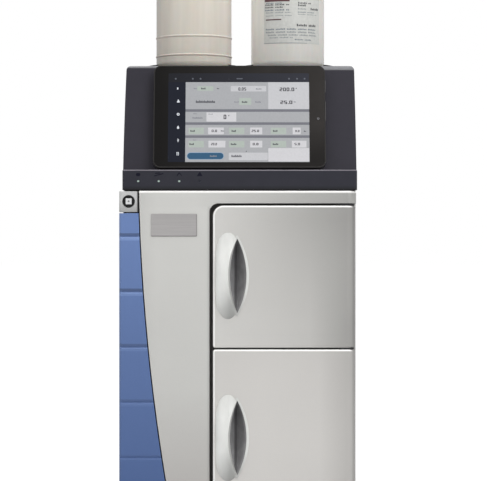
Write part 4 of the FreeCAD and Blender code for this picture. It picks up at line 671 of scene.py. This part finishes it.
# A digit's bars: each is a left edge, a lower edge, a width and a height as shares of the digit
BARS = {
    "top": (0.1, 0.83, 0.8, 0.17), "middle": (0.1, 0.415, 0.8, 0.17), "bottom": (0.1, 0.0, 0.8, 0.17),
    "upper_left": (0.0, 0.5, 0.32, 0.46), "upper_right": (0.68, 0.5, 0.32, 0.46),
    "lower_left": (0.0, 0.04, 0.32, 0.46), "lower_right": (0.68, 0.04, 0.32, 0.46),
}
LEFT_OUT = {"0": ("middle",), "5": ("upper_right", "lower_left"), "2": ("upper_left", "lower_right"), "8": ()}


class Page:
    """The lit page of the tablet, drawn in millimetres from the lower left corner of its display."""

    def __init__(self):
        self.mesh = bmesh.new()

    def patch(self, kind, u, v, wide, high, layer, radius=0.0):
        """A patch of one colour, with its layer's number as its order from the glass outwards."""
        y = GLASS_FRONT - 0.00004 * layer
        left, low = LEFT + u / 1000, LOW + v / 1000
        card(self.mesh, left, left + wide / 1000, low, low + high / 1000, y, radius / 1000, KINDS.index(kind))

    def words(self, u, end, middle, high, kind="ink"):
        """A line of small bars of uneven height, as text looks from afar."""
        letter, rises = 1.05, (1.0, 0.7, 0.7, 1.0, 0.75, 0.9, 0.7)
        for i in range(max(1, int((end - u) / (letter * 1.35)))):
            rise = high * rises[i % len(rises)]
            self.patch(kind, u + i * letter * 1.35, middle - high / 2, letter, rise, 5)

    def number(self, figures, u, end, middle, high):
        """A number made of bars."""
        wide = (end - u) / (len(figures.replace(".", "")) * 1.25 + figures.count(".") * 0.5)
        for figure in figures:
            if figure == ".":
                self.patch("figure", u, middle - high / 2, wide * 0.32, high * 0.18, 5)
                u += wide * 0.5
                continue
            for name, (left, low, across, up) in BARS.items():
                if name not in LEFT_OUT[figure]:
                    spot = (u + left * wide, middle - high / 2 + low * high)
                    self.patch("figure", *spot, across * wide, up * high, 5)
            u += wide * 1.25

    def icons(self):
        """The side bar's six plain symbols: a lozenge, a flask, a dial, a bottle, a hook and a grid."""
        u = 12.4
        parts = [
            [(1.9, 0, 1.9, 1.0), (1.3, 0.8, 1.3, 1.5), (1.9, 2.1, 1.9, 0.5)],
            [(1.6, 0, 3.4, 1.7), (1.0, 1.5, 2.2, 1.2), (0.5, 2.6, 1.1, 1.4)],
            [],
            [(1.3, 0, 2.7, 2.4), (0.9, 2.3, 1.9, 0.8), (0.5, 3.0, 1.1, 0.9)],
            [(0.3, 0, 0.9, 1.6), (0.9, 1.5, 1.7, 0.9), (-0.3, 2.2, 0.9, 1.2), (0.9, 3.3, 1.5, 0.8)],
            [(a, b, 1.3, 1.1) for a in (1.7, 0.0) for b in (0, 1.5, 3.0)],
        ]
        for i, blocks in enumerate(parts):
            low = 94.2 - 17.1 * i
            for back, rise, wide, high in blocks:
                self.patch("icon", u - back, low + rise, wide, high, 4, min(wide, high) * 0.3)
        for radius, kind, layer in ((1.8, "icon", 4), (0.75, "side", 5)):
            self.patch(kind, u - radius, 61.8 - radius, 2 * radius, 2 * radius, layer, radius * 0.99)


def build_screen():
    """A generic control page: a side bar of symbols, a status bar, value fields and two buttons."""
    page = Page()
    width, height = WIDE * 1000, HIGH * 1000
    page.patch("bar", 0, 0, width, height, 1, 1)
    page.patch("side", 0, 0, SIDE_BAR, PAGE_TOP, 2)
    page.patch("page", SIDE_BAR, 0, width - SIDE_BAR, PAGE_TOP, 2)
    page.patch("pale", 124, 68.5, width - 124, PAGE_TOP - 68.5, 3)
    page.patch("field", 123.8, 0.6, width - 124.2, 17.4, 3, 0.6)
    for v in (65.0, 48.0, 31.1):
        page.patch("rule", SIDE_BAR, v, width - SIDE_BAR, 3.4, 3)
    page.patch("pale", 77.5, 91.6, 44, 7.2, 3, 0.6)
    page.patch("field", 47.4, 52.3, 37, 12, 3, 0.6)
    page.patch("green", 36, 92.5, 20, 6, 3, 0.6)
    page.patch("green", 88, 74, 15, 9, 3, 0.6)
    rows = {40.2: ((49.5, 19.5), (101.5, 15), (154, 10)), 23.1: ((50, 21), (101.5, 15), (153, 18))}
    for middle, values in rows.items():
        for u in (25.5, 75.5, 127):
            page.patch("green", u, middle - 4.2, 19, 8.4, 3, 0.6)
        for u, wide in values:
            page.patch("field", u, middle - 4.4, wide, 8.8, 3, 0.6)
    for u, end, middle, high, kind in (
        (31.6, 36, 95.5, 1.5, "faint"), (40.7, 47.7, 95.5, 2.3, "ink"), (60.4, 64.5, 95.5, 1.5, "ink"),
        (108.9, 116.5, 95, 1.8, "faint"), (158.2, 161, 95.6, 1.5, "ink"), (34.2, 59.3, 78.2, 3.2, "ink"),
        (81.9, 88.7, 77.9, 1.7, "faint"), (91.3, 98.5, 77.9, 2.3, "ink"), (108, 116.5, 77.9, 2.1, "faint"),
        (155.6, 159.3, 78, 1.8, "faint"), (31.4, 37, 62.6, 1.2, "faint"), (30.2, 43.7, 57.2, 2.4, "faint"),
        (50, 57, 62, 1.0, "faint"), (74.6, 76.4, 60, 1.4, "ink"), (27.7, 34.1, 40.2, 2.3, "ink"),
        (65.4, 69.7, 40.2, 1.5, "ink"), (78.6, 85.1, 40.2, 2.5, "ink"), (129.9, 136.5, 40.2, 2.4, "ink"),
        (167.9, 171.6, 39.8, 1.5, "ink"), (26.7, 33.2, 23.1, 2.4, "ink"), (77.7, 85.1, 23.1, 2.4, "ink"),
        (129.4, 136.5, 23.1, 2.4, "ink"), (31, 36, 28.4, 1.0, "faint"), (96.2, 98.8, 13.8, 1.2, "ink"),
    ):
        page.words(u, end, middle, high, kind)
    for figures, u, end, middle, high in (
        ("0.05", 87, 97.1, 94.8, 4), ("200.0", 138.1, 157.2, 94.3, 4.6), ("25.0", 139, 154.8, 77.4, 4.4),
        ("0", 68.7, 72.8, 58.4, 5.6), ("0.0", 53.9, 61.2, 40.2, 3), ("25.0", 103.4, 113, 40.2, 3),
        ("0.0", 157.3, 163, 40, 2.6), ("20.0", 53.4, 61, 23.1, 3), ("0.8", 104.7, 112.4, 23.1, 3),
        ("5.0", 156.2, 163.6, 23.1, 3),
    ):
        page.number(figures, u, end, middle, high)
    page.patch("rim", 23.4, 3.2, 45.8, 9.2, 3, 4.5)
    page.patch("blue", 24.0, 3.7, 44.6, 8.1, 4, 4.0)
    page.words(52, 61, 7.7, 2.2, "faint")
    page.patch("pale", 75.2, 2.4, 48.0, 9.7, 3, 1.2)
    page.words(78.5, 91.7, 7.7, 2.8)
    for u in (8.0, 29.2, 38.8, 148.8, 158.8, 168.2):
        page.patch("mark", u, 107.2, 2.2, 2.2, 3, 1.0)
    page.patch("mark", 84.6, 107.6, 7.6, 1.5, 3, 0.7)
    page.icons()
    start = SLOPE_FOOT.x + LEFT
    # A painted reflection on the glass over the dark bar: lighter towards the right
    fades = {"bar": ("X", start, start + WIDE, 0.62, 1.5)}
    materials = [flat("screen_" + kind, SCREEN[kind], fade=fades.get(kind)) for kind in KINDS]
    add("tablet_screen", page.mesh, "tablet", materials, SLOPE)


build_screen()


def tablet_camera():
    """The small camera lens in the right bezel, with its metal ring."""
    dark = moulded("lens_dark", linear(18, 18, 24), 0.08)
    ringed = metal("lens_ring", linear(120, 120, 124), 0.3)
    mesh = bmesh.new()
    for radius, lift in ((0.0014, 0.00006), (0.0008, 0.00012)):
        raised = Matrix.Translation((0, 0, lift))
        bmesh.ops.create_circle(mesh, cap_ends=True, radius=radius, segments=32, matrix=raised)
    mesh.faces.ensure_lookup_table()
    mesh.faces[1].material_index = 1
    spot = SLOPE @ Matrix.Translation((0.0975, GLASS_FRONT, 0.0622))
    lay = spot @ Matrix.Rotation(math.radians(90), 4, "X")
    add("tablet_lens", mesh, "tablet", [ringed, dark], lay)


tablet_camera()


# The badge, the light symbols, the button's mark and the bottle's label


def build_badge():
    """The bare badge on the silver column: a thin brushed plate with painted shade on its right and bottom
    edge and near its top.
    """
    left, right, low, high = -0.1071, -0.0505, 0.3909, 0.4188
    m = Material("badge_metal")
    lines = m.noise(1, 3, (30, 30, 2600))
    tone = linear(170, 167, 166)
    plate = m.ramp(lines, [(0.3, scaled(tone, 0.9)), (0.7, tone)])
    plate = m.fade(plate, "X", right - 0.0013, right - 0.0007, 1.0, 0.66)
    plate = m.fade(plate, "Z", low + 0.0014, low + 0.0008, 1.0, 0.60)
    m.colour(m.fade(plate, "Z", low + 0.012, low + 0.026, 1.0, 0.95))
    m.rough(m.between(lines, 0.3, 0.42))
    m.bump(lines, 0.2, 0.00003)
    m.set(Metallic=0.3)
    mesh = bmesh.new()
    slab(mesh, left, right, low, high, FACE - 0.0009, FACE + 0.0002, 0.0012)
    soften(add("badge_plate", mesh, "cabinet", m), 0.0003)


build_badge()


def light_symbols():
    """Four small dark printed symbols over the lights: a ring, a slanted bar, an arch and a wedge."""
    ink = moulded("symbol_ink", linear(27, 27, 39), 0.6, gloss=0.05)
    mesh = bmesh.new()
    y = FACE - 0.00012
    low, high = box_of("status_lights")
    across = high.z - low.z
    pitch = (high.x - low.x - across) / 3
    first, z = low.x + across / 2, high.z + 0.0062
    card(mesh, first - 0.0028, first + 0.0026, z - 0.0020, z + 0.0018, y, 0.0018)
    for light, corners in (
        (1, [(-6.0, -1.4), (-5.0, -2.2), (6.0, 0.6), (5.2, 1.8)]),
        (1, [(-4.6, 0.8), (1.6, 1.2), (1.4, 2.4), (-4.4, 2.0)]),
        (2, [(-3.4, -1.8), (-2.2, -1.8), (0.0, 1.2), (2.6, -1.6), (3.6, -1.6), (0.4, 2.4), (-0.6, 2.4)]),
        (3, [(-3.4, -2.0), (3.4, -2.0), (0.6, 2.8), (-0.6, 2.8)]),
    ):
        x = first + pitch * light
        mesh.faces.new([mesh.verts.new((x + a / 1000, y, z + b / 1000)) for a, b in corners])
    add("light_symbols", mesh, "cabinet", ink)


light_symbols()


def button_mark():
    """A small grey dot in the middle of the power button."""
    grey = moulded("mark_grey", linear(120, 120, 122), 0.4)
    mesh = bmesh.new()
    spot, half = middle_of("power_button"), 0.0012
    proud, lift = 0.0009, 0.00008
    card(mesh, spot.x - half, spot.x + half, spot.z - half, spot.z + half, FACE - proud - lift, 0.0011)
    add("button_mark", mesh, "power_button_part", grey)


button_mark()


def bottle_label():
    """The paper label round part of the right bottle: plain rows of bars in the place of its print."""
    paper = Material("label_paper")
    shade = paper.ramp(paper.noise(300, 4), [(0.3, linear(198, 198, 193)), (0.7, linear(210, 210, 205))])
    paper.colour(shade)
    paper.rough(paper.between(paper.noise(500, 2), 0.5, 0.6))
    paper.bump(paper.noise(700, 3), 0.15, 0.00005)
    inks = [moulded("label_" + kind, tone, 0.5) for kind, tone in (
        ("black", linear(70, 72, 74)), ("grey", linear(140, 145, 148)), ("maroon", linear(84, 50, 54)),
        ("slate", linear(112, 124, 134)))]
    mesh = bmesh.new()
    centre, radius = middle_of("right_bottle"), 0.0473
    paper_lift, print_lift = 0.00015, 0.0003
    black, grey, maroon, slate = range(1, 5)

    def strip(first, last, bottom, top, lift, index, steps=1):
        """A band between two angles in degrees and two heights, lifted off the bottle."""
        lower, upper = [], []
        for i in range(steps + 1):
            angle = math.radians(first + (last - first) * i / steps)
            reach = radius + lift
            spot = (centre.x + reach * math.sin(angle), centre.y - reach * math.cos(angle))
            lower.append(mesh.verts.new((*spot, bottom)))
            upper.append(mesh.verts.new((*spot, top)))
        for i in range(steps):
            face = mesh.faces.new((lower[i], lower[i + 1], upper[i + 1], upper[i]))
            face.material_index = index

    def words(first, last, level, high, index):
        """A row of small bars of uneven height, with a gap after each few."""
        rises = (1.0, 0.7, 0.85, 0.7, 1.0, 0.8)
        wide = 1.3 + high * 260
        for i in range(int((last - first) / (wide * 1.4))):
            if i % 7 != 6:
                start, foot = first + i * wide * 1.4, level - high / 2
                strip(start, start + wide, foot, foot + high * rises[i % 6], print_lift, index)

    strip(-40.4, 57.1, 0.638, 0.7405, paper_lift, 0, 48)
    strip(-39, 2, 0.6915, 0.7005, print_lift, maroon, 24)
    for first, last, level, high, index in (
        (-38, 8, 0.7300, 0.0030, black), (-38, 50, 0.7235, 0.0016, grey), (-38, 44, 0.7190, 0.0016, slate),
        (-37, 4, 0.6775, 0.0012, grey), (-36, 6, 0.6735, 0.0010, grey), (15, 52, 0.6752, 0.0010, grey),
        (14, 50, 0.7110, 0.0026, black), (-38, 4, 0.7085, 0.0016, grey), (14, 48, 0.7000, 0.0016, grey),
        (-37, -8, 0.6895, 0.0014, slate), (-38, 4, 0.6875, 0.0018, black), (-38, -6, 0.6843, 0.0018, black),
        (-38, 4, 0.6808, 0.0018, slate), (15, 40, 0.6898, 0.0020, black), (15, 31, 0.6868, 0.0024, black),
        (15, 32, 0.6822, 0.0014, grey), (37, 56, 0.6826, 0.0028, black), (15, 48, 0.6780, 0.0012, slate),
        (13, 48, 0.6614, 0.0030, black), (-37, 50, 0.6562, 0.0018, slate), (-37, 51, 0.6524, 0.0018, grey),
        (-33, 51, 0.6487, 0.0016, grey), (-30, 8, 0.6454, 0.0014, grey), (10, 40, 0.6428, 0.0014, slate),
    ):
        words(first, last, level, high, index)
    strip(-37, -11, 0.6677, 0.6692, print_lift, maroon, 16)
    strip(-40, 30, 0.6382, 0.6388, print_lift, grey, 24)
    add("bottle_label", mesh, "right_bottle_part", [paper, *inks], smooth=True)


bottle_label()


# Small fasteners and tubing


def screw(mesh, centre, axis, radius, height):
    """A domed screw head with a cross recess that looks towards y or -y."""
    turn = {"-y": 90, "y": -90}[axis]
    place = Matrix.Translation(centre) @ Matrix.Rotation(math.radians(turn), 4, "X")
    rings = []
    for share, rise in ((1.0, 0.0), (1.0, 0.45), (0.86, 0.8), (0.5, 1.0)):
        ring = [place @ Vector((radius * share * math.cos(a), radius * share * math.sin(a), height * rise))
                for a in (math.tau * i / 20 for i in range(20))]
        rings.append([mesh.verts.new(p) for p in ring])
    for lower, upper in zip(rings, rings[1:]):
        for i in range(20):
            mesh.faces.new((lower[i], lower[(i + 1) % 20], upper[(i + 1) % 20], upper[i]))
    mesh.faces.new(rings[-1])
    for angle in (0, 90):
        arm = place @ Matrix.Rotation(math.radians(angle), 4, "Z")
        half, thick = radius * 0.45, radius * 0.1
        corners = [(-half, -thick), (half, -thick), (half, thick), (-half, thick)]
        face = mesh.faces.new([mesh.verts.new(arm @ Vector((a, b, height * 1.03))) for a, b in corners])
        face.material_index = 1


def screws(name, spots, axis, radius=0.0028, height=0.0012):
    """One piece with a screw head at each place."""
    mesh = bmesh.new()
    for spot in spots:
        screw(mesh, spot, axis, radius, height)
    add(name, mesh, "cabinet", [screw_steel, screw_slot])


def four_round(x, y, z, radius):
    """Four places on an upright circle, halfway between its axes."""
    angles = [math.radians(45 + 90 * i) for i in range(4)]
    return [(x + radius * math.cos(a), y, z + radius * math.sin(a)) for a in angles]


screw_steel = metal("screw_steel", linear(176, 176, 180), 0.3)
screw_slot = moulded("screw_slot", linear(24, 24, 26), 0.6)
rear_low, rear_high = box_of("rear_panel")
margin = 0.008
rear_columns = (rear_low.x + margin, middle_of("rear_panel").x, rear_high.x - margin)
screws("rear_screws", [(x, REAR, z) for x in rear_columns for z in (0.022, 0.232, 0.438)], "y")
fan, half_pitch = middle_of("fan_frame"), 0.0358
fan_spots = [(fan.x + a * half_pitch, REAR, fan.z + b * half_pitch) for a in (-1, 1) for b in (-1, 1)]
screws("fan_screws", fan_spots, "y", 0.0032)
inlet = middle_of("mains_inlet")
inlet_spots = [(inlet.x, REAR + 0.003, inlet.z + b * 0.0288) for b in (-1, 1)]
screws("inlet_screws", inlet_spots, "y", 0.0018, 0.0008)
hinge = middle_of("hinge_pins").x
hinge_spots = [(hinge + a * 0.005, -0.2252, z) for a in (-1, 1) for z in (0.4235, 0.2595, 0.0365)]
screws("hinge_screws", hinge_spots, "-y", 0.0022, 0.0006)
VALVE_X, VALVE_Z = 0.006, 0.383
screws("valve_screws", four_round(VALVE_X, -0.1365, VALVE_Z, 0.0188), "-y", 0.0016, 0.001)
PUMP_HEADS, PUMP_Z = {"left": 0.0, "right": 0.048}, 0.152
head_spots = [spot for x in PUMP_HEADS.values() for spot in four_round(x, -0.1805, PUMP_Z, 0.0128)]
screws("head_screws", head_spots, "-y", 0.0022, 0.0014)


def fan_guard():
    """The wire guard over the fan: rings and four spokes."""
    mesh = bmesh.new()
    wire = metal("guard_wire", linear(150, 150, 154), 0.3)
    centre = Vector((fan.x, REAR + 0.0026, fan.z))
    for radius in (0.008, 0.015, 0.022, 0.029, 0.036):
        add_ring(mesh, centre, radius, 0.0009)
    for angle in range(4):
        a = math.radians(45 + 90 * angle)
        start = centre + Vector((0.008 * math.cos(a), -0.0012, 0.008 * math.sin(a)))
        end = centre + Vector((0.0506 * math.cos(a), -0.0012, 0.0506 * math.sin(a)))
        add_rod(mesh, start, end, 0.0009)
    add("fan_guard", mesh, "cabinet", wire, smooth=True)


def add_ring(mesh, centre, radius, thick):
    """A round wire bent to a ring that faces the back."""
    around, section = 64, 8
    rows = []
    for i in range(around):
        a = math.tau * i / around
        row = []
        for j in range(section):
            b = math.tau * j / section
            reach, out = radius + thick * math.cos(b), thick * math.sin(b)
            row.append(mesh.verts.new(centre + Vector((reach * math.cos(a), out, reach * math.sin(a)))))
        rows.append(row)
    for i in range(around):
        for j in range(section):
            here, there = rows[i], rows[(i + 1) % around]
            mesh.faces.new((here[j], here[(j + 1) % section], there[(j + 1) % section], there[j]))


def add_rod(mesh, start, end, thick):
    """A straight round wire between two places."""
    section = 8
    way = (end - start).normalized()
    side = way.orthogonal().normalized()
    other = way.cross(side)
    ends = []
    for spot in (start, end):
        ends.append([
            mesh.verts.new(spot + side * thick * math.cos(b) + other * thick * math.sin(b))
            for b in (math.tau * j / section for j in range(section))
        ])
    for j in range(section):
        mesh.faces.new((ends[0][j], ends[0][(j + 1) % section], ends[1][(j + 1) % section], ends[1][j]))
    mesh.faces.new(ends[0])
    mesh.faces.new(ends[1])


fan_guard()


def capillary(name, points, material):
    """A fine tube between two ports, as a smooth curve that a few points in millimetres steer."""
    curve = bpy.data.curves.new(name, "CURVE")
    curve.dimensions = "3D"
    curve.bevel_depth = 0.0009
    curve.bevel_resolution = 3
    curve.resolution_u = 16
    spline = curve.splines.new("NURBS")
    spline.points.add(len(points) - 1)
    for spot, point in zip(spline.points, points):
        spot.co = (*(c / 1000 for c in point), 1)
    spline.order_u = 4
    spline.use_endpoint_u = True
    curve.materials.append(material.made)
    item = placed(name, curve)
    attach(item, "cabinet")


def tubing():
    """The capillaries that join the valve, columns, suppressor, cell and pump, in millimetres."""
    circle, tip = 9.5, -165.5

    def port(angle, out):
        """A place in line with one of the valve's ports, so far in front of its tip."""
        a = math.radians(angle)
        return (1000 * VALVE_X + circle * math.cos(a), tip - out, 1000 * VALVE_Z + circle * math.sin(a))

    amber = moulded("tube_amber", linear(206, 172, 112), 0.3, 900, 0.00001)
    clear = moulded("tube_clear", linear(222, 222, 214), 0.2, 900, 0.00001)
    tubes = [
        ("to_guard", amber, [
            port(30, -1), port(30, 8), (26, -186, 402), (40, -180, 409), (40, -152.5, 400),
            (40, -152.5, 377)]),
        ("guard_to_column", amber, [
            (40, -152.5, 306), (40, -152.5, 282), (47, -158, 266), (60, -156, 265.5), (62, -152.5, 268),
            (62, -152.5, 270.5)]),
        ("to_suppressor", amber, [
            (62, -152.5, 412.5), (62, -153, 417.5), (72, -156, 418.5), (86, -148, 417), (89, -142.5, 410),
            (89, -142.5, 400)]),
        ("to_cell", amber, [
            (89, -142.5, 291), (89, -142.5, 278), (80, -165, 268), (40, -182, 272), (12, -185, 280),
            (12, -178, 287), (12, -165.5, 287)]),
        ("from_cell", clear, [
            (-4, -165.5, 287), (-4, -178, 287), (-14, -186, 284), (-21, -176, 276), (-22.5, -150, 272),
            (-22.5, -133.5, 272)]),
        ("pump_to_valve", amber, [
            port(90, -1), port(90, 12), (-1, -184, 408), (-14, -176, 413), (-21, -150, 412),
            (-22.5, -133.5, 412)]),
        ("valve_waste", clear, [
            port(150, -1), port(150, 8), (-12, -182, 385), (-21.5, -170, 370), (-22.5, -148, 352),
            (-22.5, -133.5, 352)]),
    ]
    for side, place in PUMP_HEADS.items():
        x = 1000 * place
        tubes.append((side + "_outlet", amber, [
            (x, -164.5, 191), (x, -164.5, 204), (x + 6, -163, 216), (x + 10, -150, 224),
            (x + 10, -133.5, 224)]))
        tubes.append((side + "_inlet", clear, [
            (x, -164.5, 113), (x, -164.5, 107), (x - 6, -175, 104), (x - 12, -172, 108), (x - 13, -155, 112),
            (x - 13, -133.5, 112)]))
    tubes.append(("cartridge", clear, [
        (98, -151.5, 190), (98, -151.5, 210), (92, -150, 222), (84, -142, 226), (84, -133.5, 226)]))
    for name, material, points in tubes:
        capillary("tube_" + name, points, material)


tubing()


# Stage, light and camera


def shader_of(tree, kind, colour, strength=None):
    """The output of a new shader node with its colour and, where it has one, its strength."""
    made = tree.nodes.new("ShaderNode" + kind)
    made.inputs["Color"].default_value = colour
    if strength is not None:
        made.inputs["Strength"].default_value = strength
    return made.outputs[0]


def white_room(tree, kind, plain, white):
    """Shows white to the camera, in reflections and through glass, and the plain shader to all other rays."""
    path = tree.nodes.new("ShaderNodeLightPath")
    total = path.outputs["Is Camera Ray"]
    for ray in ("Is Glossy Ray", "Is Transmission Ray"):
        larger = tree.nodes.new("ShaderNodeMath")
        larger.operation = "MAXIMUM"
        tree.links.new(total, larger.inputs[0])
        tree.links.new(path.outputs[ray], larger.inputs[1])
        total = larger.outputs[0]
    mix = tree.nodes.new("ShaderNodeMixShader")
    for source, socket in zip((total, plain, white), mix.inputs):
        tree.links.new(source, socket)
    tree.links.new(mix.outputs[0], tree.nodes.new(kind).inputs["Surface"])


def stage_plane(name, corners):
    """A plain white surface: it looks white to the camera and keeps the shadow that falls on it."""
    mesh = bpy.data.meshes.new(name)
    mesh.from_pydata(corners, [], [list(range(len(corners)))])
    item = placed(name, mesh)
    made = bpy.data.materials.new(name + "_white")
    made.use_nodes = True
    tree = made.node_tree
    tree.nodes.clear()
    plain = shader_of(tree, "BsdfDiffuse", (0.82, 0.82, 0.82, 1))
    white = tree.nodes.new("ShaderNodeAddShader")
    tree.links.new(shader_of(tree, "BsdfDiffuse", (0.5, 0.5, 0.5, 1)), white.inputs[0])
    tree.links.new(shader_of(tree, "Emission", (1, 1, 1, 1), 0.8), white.inputs[1])
    white_room(tree, "ShaderNodeOutputMaterial", plain, white.outputs[0])
    mesh.materials.append(made)


stage_plane("floor", [(-30, -30, 0), (30, -30, 0), (30, 30, 0), (-30, 30, 0)])


def world():
    """A white room to the camera, and an even soft light on the object."""
    made = bpy.data.worlds.new("studio")
    bpy.context.scene.world = made
    made.use_nodes = True
    tree = made.node_tree
    tree.nodes.clear()
    light = shader_of(tree, "Background", (0.96, 0.98, 1, 1), 0.43)
    white = shader_of(tree, "Background", (1, 1, 1, 1), 1.0)
    white_room(tree, "ShaderNodeOutputWorld", light, white)


world()


def lamp(name, spot, target, size, power):
    """A square soft light that faces a point."""
    data = bpy.data.lights.new(name, "AREA")
    data.shape = "SQUARE"
    data.size = size
    data.energy = power
    item = placed(name, data)
    item.location = spot
    item.rotation_mode = "QUATERNION"
    item.rotation_quaternion = (Vector(target) - Vector(spot)).to_track_quat("-Z", "Y")


lamp("key_light", (1.5, -2.2, 1.9), (0, 0, 0.4), 1.6, 35)
lamp("top_light", (0.1, -0.7, 3.0), (0, 0, 0.4), 1.8, 30)
lamp("side_light", (-2.2, -1.8, 1.2), (0, 0, 0.35), 1.4, 8)

CAMERA_DISTANCE, CAMERA_HEIGHT, CAMERA_ASIDE = 2.6, 0.386, 0.005
camera = bpy.data.cameras.new("photo_camera")
camera.sensor_width = 36
camera.lens = 156.4
camera.clip_end = 50
view = placed("photo_camera", camera)
view.location = (middle_of("tablet_back").x + CAMERA_ASIDE, FACE - CAMERA_DISTANCE, CAMERA_HEIGHT)
view.rotation_euler = (math.radians(90), 0, 0)
bpy.context.scene.camera = view
bpy.context.scene.view_settings.view_transform = "Standard"
